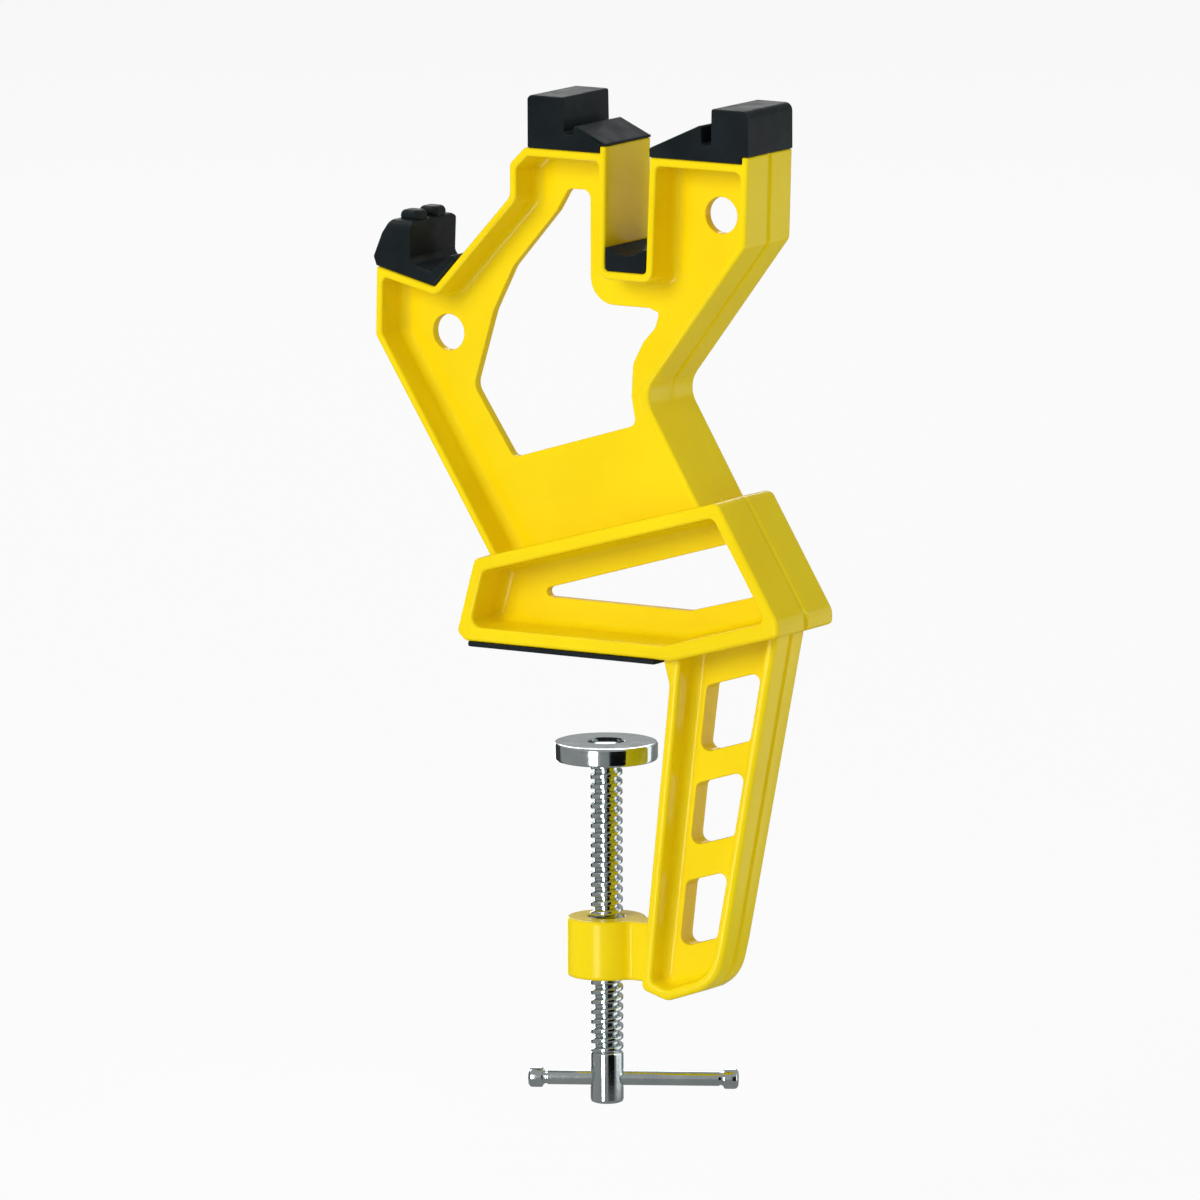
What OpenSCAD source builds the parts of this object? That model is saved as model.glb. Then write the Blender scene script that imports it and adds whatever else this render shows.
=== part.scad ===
// Bench vise for ski tuning: one moulded frame with rubber pads and a clamp spindle.
// Millimetres. X runs out from the bench edge, Y along it, Z up from the bench top.

/* [Widths] */
// column, arm and jaw blocks, measured along the bench edge
column_width = 26; // [24:0.5:28]
// base block
base_width = 32.4; // [31:0.2:34]
// leg below the bench, at its inner face under the bench top
leg_width = 26; // [25:0.5:26]
// leg at its outer face just under the base
leg_outer_width = 16; // [15:0.5:18]
// leg at its inner lower corner
leg_low_width = 22; // [21:0.5:23]
// central web of the column and the base
web = 3.3; // [2.6:0.1:4]
// central web of the leg
leg_web = 7; // [5:0.5:8]

/* [Flanges] */
// rim around the column, the arm and the jaw blocks
column_flange = 2.6; // [2.2:0.1:3]
// rim around the base
base_flange = 3.2; // [2.8:0.1:3.6]
// lower rim of the base, above the bench pad
base_floor = 4; // [3.4:0.1:4.6]
// rim around the leg
leg_flange = 3.3; // [2.8:0.1:3.8]

/* [Bench seat] */
// rubber strip between the base and the bench
base_pad_thick = 2; // [1.5:0.1:2.5]
// how far the base reaches over the bench
base_reach = 66; // [62:1:70]
// overhang of the strip past the bench edge
base_pad_over = 0.8; // [0.4:0.1:1.2]

/* [Base block] */
// upper left corner of the sloping shelf
shelf_left = [-62.5, 25.7];
// upper right corner of the sloping shelf
shelf_right = [21.8, 49.8];
// lower left corner
base_left = [-68.8, 4.4];
// where the underside starts to rise
rise_start = 7;
// lower right corner
base_right = [44.2, 13.4];
// height of the short upright edge above it
base_nose = 2.7; // [2:0.1:4]

/* [Column] */
// outer face of the arm at its tip
arm_tip = [-100, 113];
// bend in the outer face of the arm
arm_bend = [-100.5, 91.8];
// bottom of the V between the arm and the inner block
notch = [-79.2, 108.1];
// where the V meets the side of the inner block
block_side = [-52.2, 137.4];
// chamfer on the upper corner of the inner block
block_chamfer = 5.4; // [4:0.2:7]
// height of the pad seats above the bench
seat_height = 152.5; // [150:0.5:155]
// outer face of the outer block
block_reach = 32; // [31:0.5:34]
// bend at the lower end of that face
block_bend = [31.1, 127.5];
// waist of the column
waist = [-4.6, 80.7];
// where the column's outer face reaches the shelf
column_foot = 15.2; // [14:0.2:17]
// where the arm's outer face reaches the shelf
arm_foot = -59; // [-60:0.2:-58]

/* [Clamping slot] */
// width of the slot at its floor
slot_width = 14.2; // [13:0.2:16]
// inner wall of the slot
slot_inner = -18.4; // [-19:0.1:-17.4]
// floor of the slot above the bench
slot_floor = 117.2; // [115:0.2:119]
// widening of the slot towards its mouth, each side
slot_flare = [0.6, 1.6];
// lips that hold the block pads sideways
lip_height = 2.2; // [1.8:0.1:2.4]
// thickness of those lips
lip_thick = 1.7; // [1.4:0.1:2]

/* [Holes] */
// round holes in the arm and in the outer block
hang_hole = 11; // [9:0.5:12]
// centre of the hole in the arm
arm_hole = [-81.2, 92.7];
// centre of the hole in the outer block
block_hole = [15.7, 135];

/* [Leg] */
// inner face just under the bench top
leg_top_in = [3.5, -6.5];
// inner lower corner
leg_low_in = [-8, -100.4];
// outer face where it meets the base
leg_top_out = [39.4, 12.2];
// outer face above its rounded lower corner
leg_low_out = [20.2, -85];
// three windows in the leg, left edges and heights: top, bottom
window_tops = [-7.2, -37.2, -67.4];
// height of each window at its left edge
window_heights = [20.8, 19.5, 20.4];
// distance of the windows from the inner face
window_margin = 8; // [7:0.2:9]
// distance of the windows from the outer face
window_outer = 5; // [4.4:0.2:6]

/* [Boss and spindle] */
// spindle axis behind the bench edge
spindle_back = 26.6; // [25:0.2:28]
// boss that carries the thread
boss_diameter = 24.2; // [22:0.2:26]
// boss height
boss_height = 18; // [16:0.5:20]
// underside of the boss below the bench top
boss_drop = 99.3; // [98:0.1:101]
// rib between the boss and the leg
rib_width = 10; // [8:0.5:14]
// spindle thread, outside diameter
spindle_diameter = 10; // [9:0.5:11]
// thread pitch
pitch = 3; // [2.5:0.5:3]
// thread depth
thread_depth = 1.3; // [1:0.1:1.5]
// steel bush pressed into the boss
bush_diameter = 15; // [14:0.5:16]
// radial running clearance of the spindle in the bush
running_gap = 0.05; // [0.03:0.01:0.08]
// lower end of the thread
thread_end = 122.6; // [121:0.2:124]
// lower end of the spindle
spindle_end = 138.4; // [137.4:0.2:140]

/* [Pressure foot] */
// disc pressed against the underside of the bench
foot_diameter = 31.4; // [28:0.2:33]
// bench thickness in the pose shown
bench_thick = 27.7; // [26:0.1:30]
// thickness of the disc
foot_height = 5.8; // [5.4:0.1:6.4]
// chamfers of the disc
foot_chamfer = 0.8; // [0.5:0.1:1.2]
// neck of the spindle inside the foot
neck_diameter = 6; // [5:0.2:6.4]
// riveted head of the neck
rivet_diameter = 9; // [8:0.2:10]
// depth of the spindle's shoulder in the foot
foot_socket = 1.6; // [1.2:0.1:2]

/* [Cross bar] */
// bar that turns the spindle
bar_diameter = 4.5; // [4:0.1:5]
// axis of the bar below the bench top
bar_drop = 131; // [130:0.2:132]
// arm of the bar on its short side, to the end of the cap
bar_short = 23.8; // [22:0.2:26]
// arm of the bar on its long side, to the end of the cap
bar_long = 39.8; // [38:0.2:42]
// direction of the long arm from +X towards +Y
bar_turn = 28;
// cap on each end
cap_diameter = 6.2; // [5.8:0.1:7]
// length of each cap
cap_length = 4.5; // [4:0.1:5]

/* [Pads] */
// top of the jaw pads above their seats
pad_height = 16; // [14:0.5:18]
// rubber left at the slot, where the ramp starts
ramp_start = 2.8; // [2.6:0.1:3.2]
// slope of the ramp that leads into the slot
ramp_slope = 0.45; // [0.35:0.01:0.5]
// length of the ramp on the outer block
ramp_outer = 18.2; // [17:0.2:19]
// length of the ramp on the inner block
ramp_inner = 11.4; // [10:0.2:12]
// groove between the ramp and the flat land
groove_width = 3.4; // [3:0.1:4]
// rubber left under that groove
groove_floor = 5; // [4.6:0.1:5.6]
// slot pad at the walls
slot_pad_side = 7.2; // [6:0.2:8]
// dip in the middle of the slot pad
slot_pad_dip = 2.2; // [1.6:0.1:2.6]
// chamfer under the slot pad, clear of the rounded slot floor
slot_pad_chamfer = 0.9; // [0.85:0.05:1.2]
// arm pad: length of its lip up the side of the V
arm_pad_lip = 12.8; // [12:0.2:13.6]
// thickness of that lip
arm_pad_lip_thick = 2.4; // [2:0.1:2.8]
// thickness in the bottom of the V
arm_pad_toe = 4; // [3.6:0.1:4.6]
// height of the post on the tip of the arm
arm_post_height = 17; // [16:0.2:18]
// thickness of the post at its top
arm_post_thick = 7.2; // [6.8:0.1:7.6]
// width of the two ribs on the post
arm_rib_width = 7; // [6:0.2:8]
// height of those ribs
arm_rib_height = 2.8; // [1.5:0.1:3.2]

/* [Hidden] */
$fn = 64;
yellow = [0.95, 0.83, 0.05];
black = [0.16, 0.18, 0.2];
steel = [0.75, 0.76, 0.78];
eps = 0.05;
spindle_x = -spindle_back;
boss_top = -boss_drop + boss_height;
foot_top = -bench_thick;
foot_low = foot_top - foot_height;
slot_outer = slot_inner + slot_width;
shelf_slope = (shelf_right[1] - shelf_left[1]) / (shelf_right[0] - shelf_left[0]);
rise_slope = (base_right[1] - base_pad_thick) / (base_right[0] - rise_start);
leg_in_slope = (leg_top_in[0] - leg_low_in[0]) / (leg_top_in[1] - leg_low_in[1]);
leg_out_slope = (leg_top_out[0] - leg_low_out[0]) / (leg_top_out[1] - leg_low_out[1]);

function shelf_z(x) = shelf_left[1] + (x - shelf_left[0]) * shelf_slope;
function under_z(x) = max(base_pad_thick, base_pad_thick + (x - rise_start) * rise_slope);
function leg_in_x(z) = leg_low_in[0] + (z - leg_low_in[1]) * leg_in_slope;
function leg_out_x(z) = leg_low_out[0] + (z - leg_low_out[1]) * leg_out_slope;

// Plane geometry
function unit(v) = v / norm(v);
function cross2(a, b) = a[0] * b[1] - a[1] * b[0];
function left_of(v) = [-v[1], v[0]];
function meet(p, u, q, v) = p + u * (cross2(q - p, v) / cross2(u, v));
// counter-clockwise outline with side i moved inward by d[i]
function inset(pts, d) = let (n = len(pts)) [
    for (i = [0:n - 1])
        let (
            a = pts[(i + n - 1) % n],
            b = pts[i],
            c = pts[(i + 1) % n],
            u = unit(b - a),
            v = unit(c - b),
            p = b + left_of(u) * d[(i + n - 1) % n],
            q = b + left_of(v) * d[i]
        )
        abs(cross2(u, v)) < 0.001 ? p : meet(p, u, q, v)
];
function same(pts, d) = [for (p = pts) d];
// corner b of the path a-b-c as an arc of radius r
function corner(a, b, c, r, steps) = r <= 0 ? [b] : let (
    u = unit(a - b),
    v = unit(c - b),
    half = acos(u * v) / 2,
    middle = b + unit(u + v) * r / sin(half),
    p = b + u * r / tan(half) - middle,
    q = b + v * r / tan(half) - middle,
    start = atan2(p[1], p[0]),
    turn = (atan2(q[1], q[0]) - start + 540) % 360 - 180
) [for (k = [0:steps]) middle + r * [cos(start + turn * k / steps), sin(start + turn * k / steps)]];
function rounded(pts, r, steps = 4) = let (n = len(pts)) [
    for (i = [0:n - 1])
        each corner(pts[(i + n - 1) % n], pts[i], pts[(i + 1) % n], r[i], steps)
];
// open path moved to its left by d
function beside(pts, d) = let (n = len(pts)) [
    for (i = [0:n - 1])
        let (
            u = unit(pts[max(i, 1)] - pts[max(i, 1) - 1]),
            v = unit(pts[min(i + 1, n - 1)] - pts[min(i, n - 2)]),
            p = pts[i] + left_of(u) * d,
            q = pts[i] + left_of(v) * d
        )
        abs(cross2(u, v)) < 0.001 ? p : meet(p, u, q, v)
];
function backwards(pts) = [for (i = [len(pts) - 1:-1:0]) pts[i]];
function strip(pts, low, high) = concat(beside(pts, low), backwards(beside(pts, high)));

// Profiles, X and Z, counter-clockwise
slot_mouth_out = [slot_outer + slot_flare[1], seat_height];
slot_mouth_in = [slot_inner + slot_flare[0], seat_height];
column_profile = [
    [arm_foot, shelf_z(arm_foot)],
    [column_foot, shelf_z(column_foot)],
    waist,
    block_bend,
    [block_reach, seat_height],
    slot_mouth_out,
    [slot_outer, slot_floor],
    [slot_inner, slot_floor],
    slot_mouth_in,
    [block_side[0] + block_chamfer, seat_height],
    [block_side[0], seat_height - block_chamfer],
    block_side,
    notch,
    arm_tip,
    arm_bend
];
column_top = [seat_height, seat_height + lip_height];
column_outline = concat(
    [[arm_foot + 1.4, shelf_z(arm_foot) - 1.6], [column_foot, shelf_z(column_foot) - 1.6]],
    [waist, block_bend],
    [[block_reach, column_top[1]], [block_reach - lip_thick, column_top[1]]],
    [[block_reach - lip_thick, column_top[0]]],
    [for (i = [5:8]) column_profile[i]],
    [[slot_mouth_in[0], column_top[1]], [slot_mouth_in[0] - lip_thick, column_top[1]]],
    [[slot_mouth_in[0] - lip_thick, column_top[0]]],
    [for (i = [9:14]) column_profile[i]]
);
column_corners = [0, 0, 8, 3, 0.5, 0.5, 0, 0, 0.8, 0.8, 0, 0.5, 0.5, 0, 1.5, 1.5, 4, 0, 0, 4];
column_insets = [0.1, column_flange, column_flange, column_flange, column_flange, column_flange,
    column_flange, column_flange, column_flange, column_flange, column_flange, column_flange,
    column_flange, column_flange, column_flange];
column_pocket = inset(column_profile, column_insets);
pocket_corners = [1, 1, 6, 4, 2, 1.5, 3.4, 3.4, 1.5, 1.5, 1.5, 4, 4, 1.5, 3];
base_profile = [
    base_left,
    [-base_reach, base_pad_thick],
    [rise_start, base_pad_thick],
    base_right,
    base_right + [0, base_nose],
    shelf_right,
    shelf_left
];
base_corners = [1.5, 1.5, 6, 1, 1, 2.5, 2.5];
base_slant = shelf_right - (base_right + [0, base_nose]);
base_rise = base_right - base_profile[2];
base_pocket = inset(
    [
        meet(base_left, base_left - shelf_left, base_profile[1], [1, 0]),
        base_profile[2],
        meet(base_profile[2], base_rise, shelf_right, base_slant),
        shelf_right,
        shelf_left
    ],
    [base_floor, base_floor, base_flange, base_flange, base_flange]);
base_pocket_corners = [3, 4, 2.5, 2.5, 2.5];
leg_bury = 1;
leg_profile = [
    leg_low_in,
    [leg_low_in[0] + 8.5, leg_low_in[1] - 3.2],
    [leg_low_in[0] + 19, leg_low_in[1] + 0.4],
    [leg_low_in[0] + 25.4, leg_low_in[1] + 4.2],
    leg_low_out,
    [leg_out_x(under_z(leg_top_out[0])) + 0.1, under_z(leg_top_out[0]) + leg_bury],
    [base_pad_over + 1, base_pad_thick + leg_bury],
    [base_pad_over + 1, base_pad_thick],
    leg_top_in
];
leg_corners = [2.5, 4, 4, 8, 12, 0, 0, 0, 5];
leg_pocket_outline = [
    leg_profile[0],
    leg_profile[1],
    leg_profile[2],
    leg_profile[3],
    leg_profile[4],
    [leg_out_x(under_z(leg_top_out[0])), under_z(leg_top_out[0])],
    [leg_top_in[0] + 0.9, base_pad_thick + (leg_top_in[0] + 0.9 - rise_start) * rise_slope],
    leg_top_in
];
leg_pocket = inset(leg_pocket_outline, [leg_flange, leg_flange, leg_flange, leg_flange, leg_flange,
    0, leg_flange, leg_flange]);
leg_pocket_corners = [2.5, 3, 3, 6, 10, 1.5, 1.5, 0];
main_window = [
    [-58.1, 56.3],
    [-14.7, 69.4],
    [-16.2, 78],
    [-15.6, 88],
    [-12, 94.8],
    [-7.7, 99.5],
    [-6.4, 104],
    [-10, 105.2],
    [slot_inner - column_flange - 9.5, 105.2],
    [slot_inner - column_flange - 9.5, 139.4],
    [-38.1, 139.3],
    [-42.3, 132.3],
    [-57.9, 114.4],
    [-65, 100.5],
    [-72.1, 77.2]
];
window_corners = [2.5, 2.5, 4, 6, 4, 4, 1, 2, 8, 2.5, 2.5, 4, 8, 8, 5];
base_window = [
    [-55.4, 14.8],
    [4.1, 14.6],
    [base_right[0] - base_flange - 7.6, 22.4],
    [base_right[0] - base_flange - 18.6, 37.3]
];
base_window_corners = [1.5, 6, 2.5, 2.5];

function leg_window(i) = let (
    top = window_tops[i],
    low = window_tops[i] - window_heights[i],
    rise = 0.3
) [
    [leg_in_x(low) + window_margin, low],
    [leg_out_x(low) - window_outer, low + rise * (leg_out_x(low) - leg_in_x(low) - window_margin
        - window_outer)],
    [leg_out_x(top) - window_outer, top + rise * (leg_out_x(top) - leg_in_x(top) - window_margin
        - window_outer)],
    [leg_in_x(top) + window_margin, top]
];

// Solids across the bench edge direction
module across(width) {
    rotate([90, 0, 0])
        linear_extrude(height = width, center = true)
            children();
}

module both_sides(outside, inside) {
    for (side = [-1, 1])
        translate([0, side * (outside + inside) / 4, 0])
            across((outside - inside) / 2 + eps)
                children();
}

module cross_hole(at, diameter, length) {
    translate([at[0], 0, at[1]])
        rotate([90, 0, 0])
            cylinder(d = diameter, h = length, center = true);
}

module body_blank() {
    across(column_width)
        polygon(rounded(column_outline, column_corners));
    across(base_width)
        polygon(rounded(base_profile, base_corners));
    leg_blank();
    translate([spindle_x, 0, -boss_drop])
        cylinder(d = boss_diameter, h = boss_height);
    translate([spindle_x, -rib_width / 2, -boss_drop])
        cube([leg_in_x(-boss_drop) + 2 - spindle_x, rib_width, boss_height]);
}

// The leg narrows outwards and downwards, so each side is cut by a sloping plane
module leg_blank() {
    rise = cross(
        [leg_top_out[0] - leg_top_in[0], (leg_outer_width - leg_width) / 2,
            leg_top_out[1] - leg_top_in[1]],
        [leg_low_in[0] - leg_top_in[0], (leg_low_width - leg_width) / 2,
            leg_low_in[1] - leg_top_in[1]]);
    normal = rise / norm(rise) * (rise[1] > 0 ? 1 : -1);
    tilt = acos(normal[2]);
    spin = atan2(normal[1], normal[0]);
    intersection() {
        across(leg_width)
            polygon(rounded(leg_profile, leg_corners));
        leg_half_space(normal, tilt, spin);
        mirror([0, 1, 0])
            leg_half_space(normal, tilt, spin);
    }
}

module leg_half_space(normal, tilt, spin) {
    translate([leg_top_in[0], leg_width / 2, leg_top_in[1]])
        rotate([0, tilt, spin])
            translate([-200, -200, -60])
                cube([400, 400, 60]);
}

module mid_grooves() {
    groove = 2.5;
    depth = 1;
    across(groove)
        polygon(strip([waist + [-2.2, -2.4], waist + [1.2, 3.6], block_bend + [0, 0],
            [block_reach, seat_height + lip_height + 1]], -2, depth));
    across(groove)
        polygon(strip([leg_low_out, leg_low_out + 0.97 * (leg_top_out - leg_low_out)], -2, depth));
}

module body() {
    color(yellow) difference() {
        body_blank();
        both_sides(column_width, web)
            polygon(rounded(column_pocket, pocket_corners));
        both_sides(base_width, web)
            polygon(rounded(base_pocket, base_pocket_corners));
        both_sides(leg_width, leg_web)
            polygon(rounded(leg_pocket, leg_pocket_corners));
        across(web + 1)
            polygon(rounded(main_window, window_corners));
        across(web + 1)
            polygon(rounded(base_window, base_window_corners));
        for (i = [0:2])
            across(leg_web + 1)
                polygon(rounded(leg_window(i), [2.6, 2.2, 2.2, 2.2]));
        cross_hole(arm_hole, hang_hole, web + 2);
        cross_hole(block_hole, hang_hole, web + 2);
        translate([spindle_x, 0, -boss_drop - 1])
            cylinder(d = bush_diameter, h = boss_height + 2);
        mid_grooves();
    }
}

module base_pad() {
    color(black)
        translate([-base_reach, -base_width / 2, 0])
            cube([base_reach + base_pad_over, base_width, base_pad_thick]);
}

module arm_pad() {
    along = unit(block_side - notch);
    out = left_of(along);
    lip_end = notch + along * arm_pad_lip;
    post_foot = arm_tip + 0.58 * (notch - arm_tip);
    toe = notch + out * arm_pad_toe;
    color(black) {
        across(column_width)
            polygon([
                arm_tip,
                notch,
                lip_end,
                lip_end + out * arm_pad_lip_thick,
                toe + along * 2.4,
                post_foot + [1.1, arm_pad_toe + 0.6],
                post_foot + [0.2, arm_post_height],
                post_foot + [0.2 - arm_post_thick, arm_post_height + 0.2],
                post_foot + [-2.8 - arm_post_thick, arm_post_height - 4],
                arm_tip + [-1, 2.8]
            ]);
        for (side = [-1, 1])
            translate([post_foot[0] - arm_post_thick + 0.6, side * 0.74 * arm_rib_width - arm_rib_width / 2,
                post_foot[1] + arm_post_height - 1])
                cube([arm_post_thick - 0.7, arm_rib_width, arm_rib_height + 1]);
    }
}

// Ramp, groove and land of a jaw pad, from the slot outwards
function pad_top(edge, way, ramp) = [
    [edge, seat_height + ramp_start],
    [edge + way * ramp, seat_height + ramp_start + ramp * ramp_slope],
    [edge + way * (ramp + 0.3), seat_height + groove_floor],
    [edge + way * (ramp + groove_width), seat_height + groove_floor],
    [edge + way * (ramp + groove_width + 0.2), seat_height + pad_height]
];

module inner_block_pad() {
    start = block_side[0] + block_chamfer + 1.2;
    stop = slot_mouth_in[0] - lip_thick;
    color(black)
        across(column_width)
            polygon(concat(
                [
                    [start, seat_height],
                    [stop, seat_height],
                    [stop, seat_height + lip_height],
                    [slot_mouth_in[0], seat_height + lip_height]
                ],
                pad_top(slot_mouth_in[0], -1, ramp_inner),
                [[start + 1, seat_height + pad_height], [start, seat_height + pad_height - 1]]
            ));
}

module outer_block_pad() {
    start = slot_mouth_out[0];
    stop = block_reach - lip_thick;
    color(black)
        across(column_width)
            polygon(concat(
                [[start, seat_height]],
                pad_top(start, 1, ramp_outer),
                [
                    [block_reach - 1.6, seat_height + pad_height],
                    [block_reach, seat_height + pad_height - 2],
                    [block_reach, seat_height + lip_height],
                    [stop, seat_height + lip_height],
                    [stop, seat_height]
                ]
            ));
}

module slot_pad() {
    rise_in = slot_flare[0] * slot_pad_side / (seat_height - slot_floor);
    rise_out = slot_flare[1] * slot_pad_side / (seat_height - slot_floor);
    half = slot_width / 2;
    across_mid = slot_inner + half;
    low = slot_floor + slot_pad_side;
    color(black)
        across(column_width)
            polygon([
                [slot_inner + slot_pad_chamfer, slot_floor],
                [slot_outer - slot_pad_chamfer, slot_floor],
                [slot_outer, slot_floor + slot_pad_chamfer],
                [slot_outer + rise_out, low],
                [slot_outer - 1, low],
                [across_mid + 3.4, low - 0.7 * slot_pad_dip],
                [across_mid + 1.4, low - slot_pad_dip],
                [across_mid - 1.4, low - slot_pad_dip],
                [across_mid - 3.4, low - 0.7 * slot_pad_dip],
                [slot_inner + 1, low],
                [slot_inner + rise_in, low],
                [slot_inner, slot_floor + slot_pad_chamfer]
            ]);
}

module threaded_bush() {
    color(steel)
        translate([spindle_x, 0, -boss_drop + 0.6])
            difference() {
                cylinder(d = bush_diameter, h = boss_height - 1.2);
                translate([0, 0, -1])
                    cylinder(d = spindle_diameter + 2 * running_gap, h = boss_height + 2);
            }
}

// Half section of the threaded rod: one trapezoid for each turn
function turns(low, high) = let (count = floor((high - low) / pitch)) [
    for (i = [0:count - 1])
        let (z = low + i * pitch)
        each [
            [spindle_diameter / 2 - thread_depth, z],
            [spindle_diameter / 2, z + 0.22 * pitch],
            [spindle_diameter / 2, z + 0.56 * pitch],
            [spindle_diameter / 2 - thread_depth, z + 0.78 * pitch]
        ]
];

module spindle() {
    core = spindle_diameter / 2;
    neck = neck_diameter / 2;
    rivet = rivet_diameter / 2;
    shoulder = foot_low + foot_socket;
    color(steel)
        translate([spindle_x, 0, 0])
            difference() {
                rotate_extrude()
                    polygon(concat(
                        [[0, -spindle_end], [core - 0.8, -spindle_end], [core, -spindle_end + 0.8],
                            [core, -thread_end - 1], [core - thread_depth, -thread_end - 0.2]],
                        turns(-thread_end, foot_low - 1.4),
                        [[core - thread_depth, foot_low - 1.2], [core - 0.8, foot_low - 0.6],
                            [core - 0.8, shoulder],
                            [neck, shoulder], [neck, foot_top - 2.2], [rivet, foot_top - 2.2],
                            [rivet, foot_top - 1.2], [rivet - 1.6, foot_top - 0.4],
                            [0, foot_top - 0.4]]));
                translate([0, 0, -bar_drop])
                    rotate([0, 90, bar_turn])
                        cylinder(d = bar_diameter + 2 * running_gap, h = 3 * spindle_diameter,
                            center = true);
            }
}

module pressure_foot() {
    outer = foot_diameter / 2;
    core = spindle_diameter / 2 - 0.8 + running_gap;
    neck = neck_diameter / 2 + running_gap;
    recess = rivet_diameter / 2 + 1;
    shoulder = foot_low + foot_socket + running_gap;
    color(steel)
        translate([spindle_x, 0, 0])
            rotate_extrude()
                polygon([
                    [core, foot_low],
                    [outer - foot_chamfer, foot_low],
                    [outer, foot_low + foot_chamfer],
                    [outer, foot_top - foot_chamfer],
                    [outer - foot_chamfer, foot_top],
                    [recess, foot_top],
                    [recess, foot_top - 2.2 - running_gap],
                    [neck, foot_top - 2.2 - running_gap],
                    [neck, shoulder],
                    [core, shoulder]
                ]);
}

module on_bar() {
    translate([spindle_x, 0, -bar_drop])
        rotate([0, 90, bar_turn])
            children();
}

cap_depth = cap_length - 1;

module tommy_bar() {
    bar_in = bar_short - cap_length + cap_depth;
    bar_out = bar_long - cap_length + cap_depth;
    color(steel)
        on_bar()
            translate([0, 0, -bar_in])
                cylinder(d = bar_diameter, h = bar_in + bar_out);
}

module bar_cap() {
    rotate_extrude()
        polygon([
            [bar_diameter / 2, 0],
            [cap_diameter / 2 - 0.4, 0],
            [cap_diameter / 2, 0.4],
            [cap_diameter / 2, cap_length - 0.8],
            [cap_diameter / 2 - 0.8, cap_length],
            [0, cap_length],
            [0, cap_depth],
            [bar_diameter / 2, cap_depth]
        ]);
}

module bar_cap_long() {
    color(steel)
        on_bar()
            translate([0, 0, bar_long - cap_length])
                bar_cap();
}

module bar_cap_short() {
    color(steel)
        on_bar()
            translate([0, 0, -bar_short + cap_length])
                mirror([0, 0, 1])
                    bar_cap();
}

body();
base_pad();
arm_pad();
inner_block_pad();
outer_block_pad();
slot_pad();
threaded_bush();
spindle();
pressure_foot();
tommy_bar();
bar_cap_short();
bar_cap_long();
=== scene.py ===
"""Bench vise for ski tuning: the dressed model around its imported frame.

Sizes are millimetres in the part's own frame: X runs out from the bench edge, Y along it, and
Z up from the bench top. Meshes are made in metres, with each object at the origin.
"""

from __future__ import annotations

import logging
import math
from contextlib import contextmanager
from dataclasses import dataclass
from enum import Enum
from typing import Callable, Iterator, Sequence

import bmesh
import bpy
from mathutils import Matrix, Vector


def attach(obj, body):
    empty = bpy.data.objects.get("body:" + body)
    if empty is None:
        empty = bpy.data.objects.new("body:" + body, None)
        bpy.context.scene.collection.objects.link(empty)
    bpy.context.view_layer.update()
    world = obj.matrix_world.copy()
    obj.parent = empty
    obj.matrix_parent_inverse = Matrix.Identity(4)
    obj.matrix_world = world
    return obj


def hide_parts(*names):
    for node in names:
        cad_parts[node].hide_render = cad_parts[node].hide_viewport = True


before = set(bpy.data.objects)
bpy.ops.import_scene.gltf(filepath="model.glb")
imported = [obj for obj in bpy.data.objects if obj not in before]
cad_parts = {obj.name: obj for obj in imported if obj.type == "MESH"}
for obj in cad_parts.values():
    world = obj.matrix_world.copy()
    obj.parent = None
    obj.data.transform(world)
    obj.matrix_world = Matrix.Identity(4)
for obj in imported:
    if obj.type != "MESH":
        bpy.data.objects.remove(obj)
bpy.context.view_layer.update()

LOG = logging.getLogger("ski_vise")
MM = 0.001
UP = Vector((0, 0, 1))
# Steps into the groove of the mould line: share of the crown, share of the depth, height from the middle.
MOULD_LINE = ((0.12, 0.0, 1.35), (0.1, 0.12, 1.1), (0.05, 0.8, 0.6), (0.0, 1.0, 0.0))

Point = tuple[float, float]
Colour = tuple[float, float, float]
Ring = list[Vector]
Piece = bpy.types.Object
Output = bpy.types.NodeSocket


class Plane(Enum):
    """The plane an outline lies in, by the axis of the height over it: X, Y or Z."""

    FRONT = 0
    SIDE = 1
    PLAN = 2


class Body(Enum):
    """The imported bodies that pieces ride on."""

    FRAME = "frame"
    FOOT = "foot"
    SCREW = "screw"
    HANDLE = "handle"


class Slot(Enum):
    """The material slots."""

    PLASTIC = "frame_plastic"
    RUBBER = "pad_rubber"
    STEEL = "plated_steel"
    BUSH = "bush_steel"


def cross(a: Vector, b: Vector) -> float:
    """Returns the cross product of two plane vectors."""
    return a.x * b.y - a.y * b.x


def direction(azimuth: float, elevation: float = 0.0) -> Vector:
    """Returns the direction of two angles in degrees; azimuth 0 is -Y and 90 is +X."""
    a, e = math.radians(azimuth), math.radians(elevation)
    return Vector((math.sin(a) * math.cos(e), -math.cos(a) * math.cos(e), math.sin(e)))


@dataclass(frozen=True)
class Slope:
    """A straight line in the side view, in millimetres."""

    start: Point
    end: Point

    def z(self, x: float) -> float:
        """Returns its height at x."""
        rise = (self.end[1] - self.start[1]) / (self.end[0] - self.start[0])
        return self.start[1] + (x - self.start[0]) * rise

    def x(self, z: float) -> float:
        """Returns its X at a height."""
        lean = (self.end[0] - self.start[0]) / (self.end[1] - self.start[1])
        return self.start[0] + (z - self.start[1]) * lean


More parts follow.
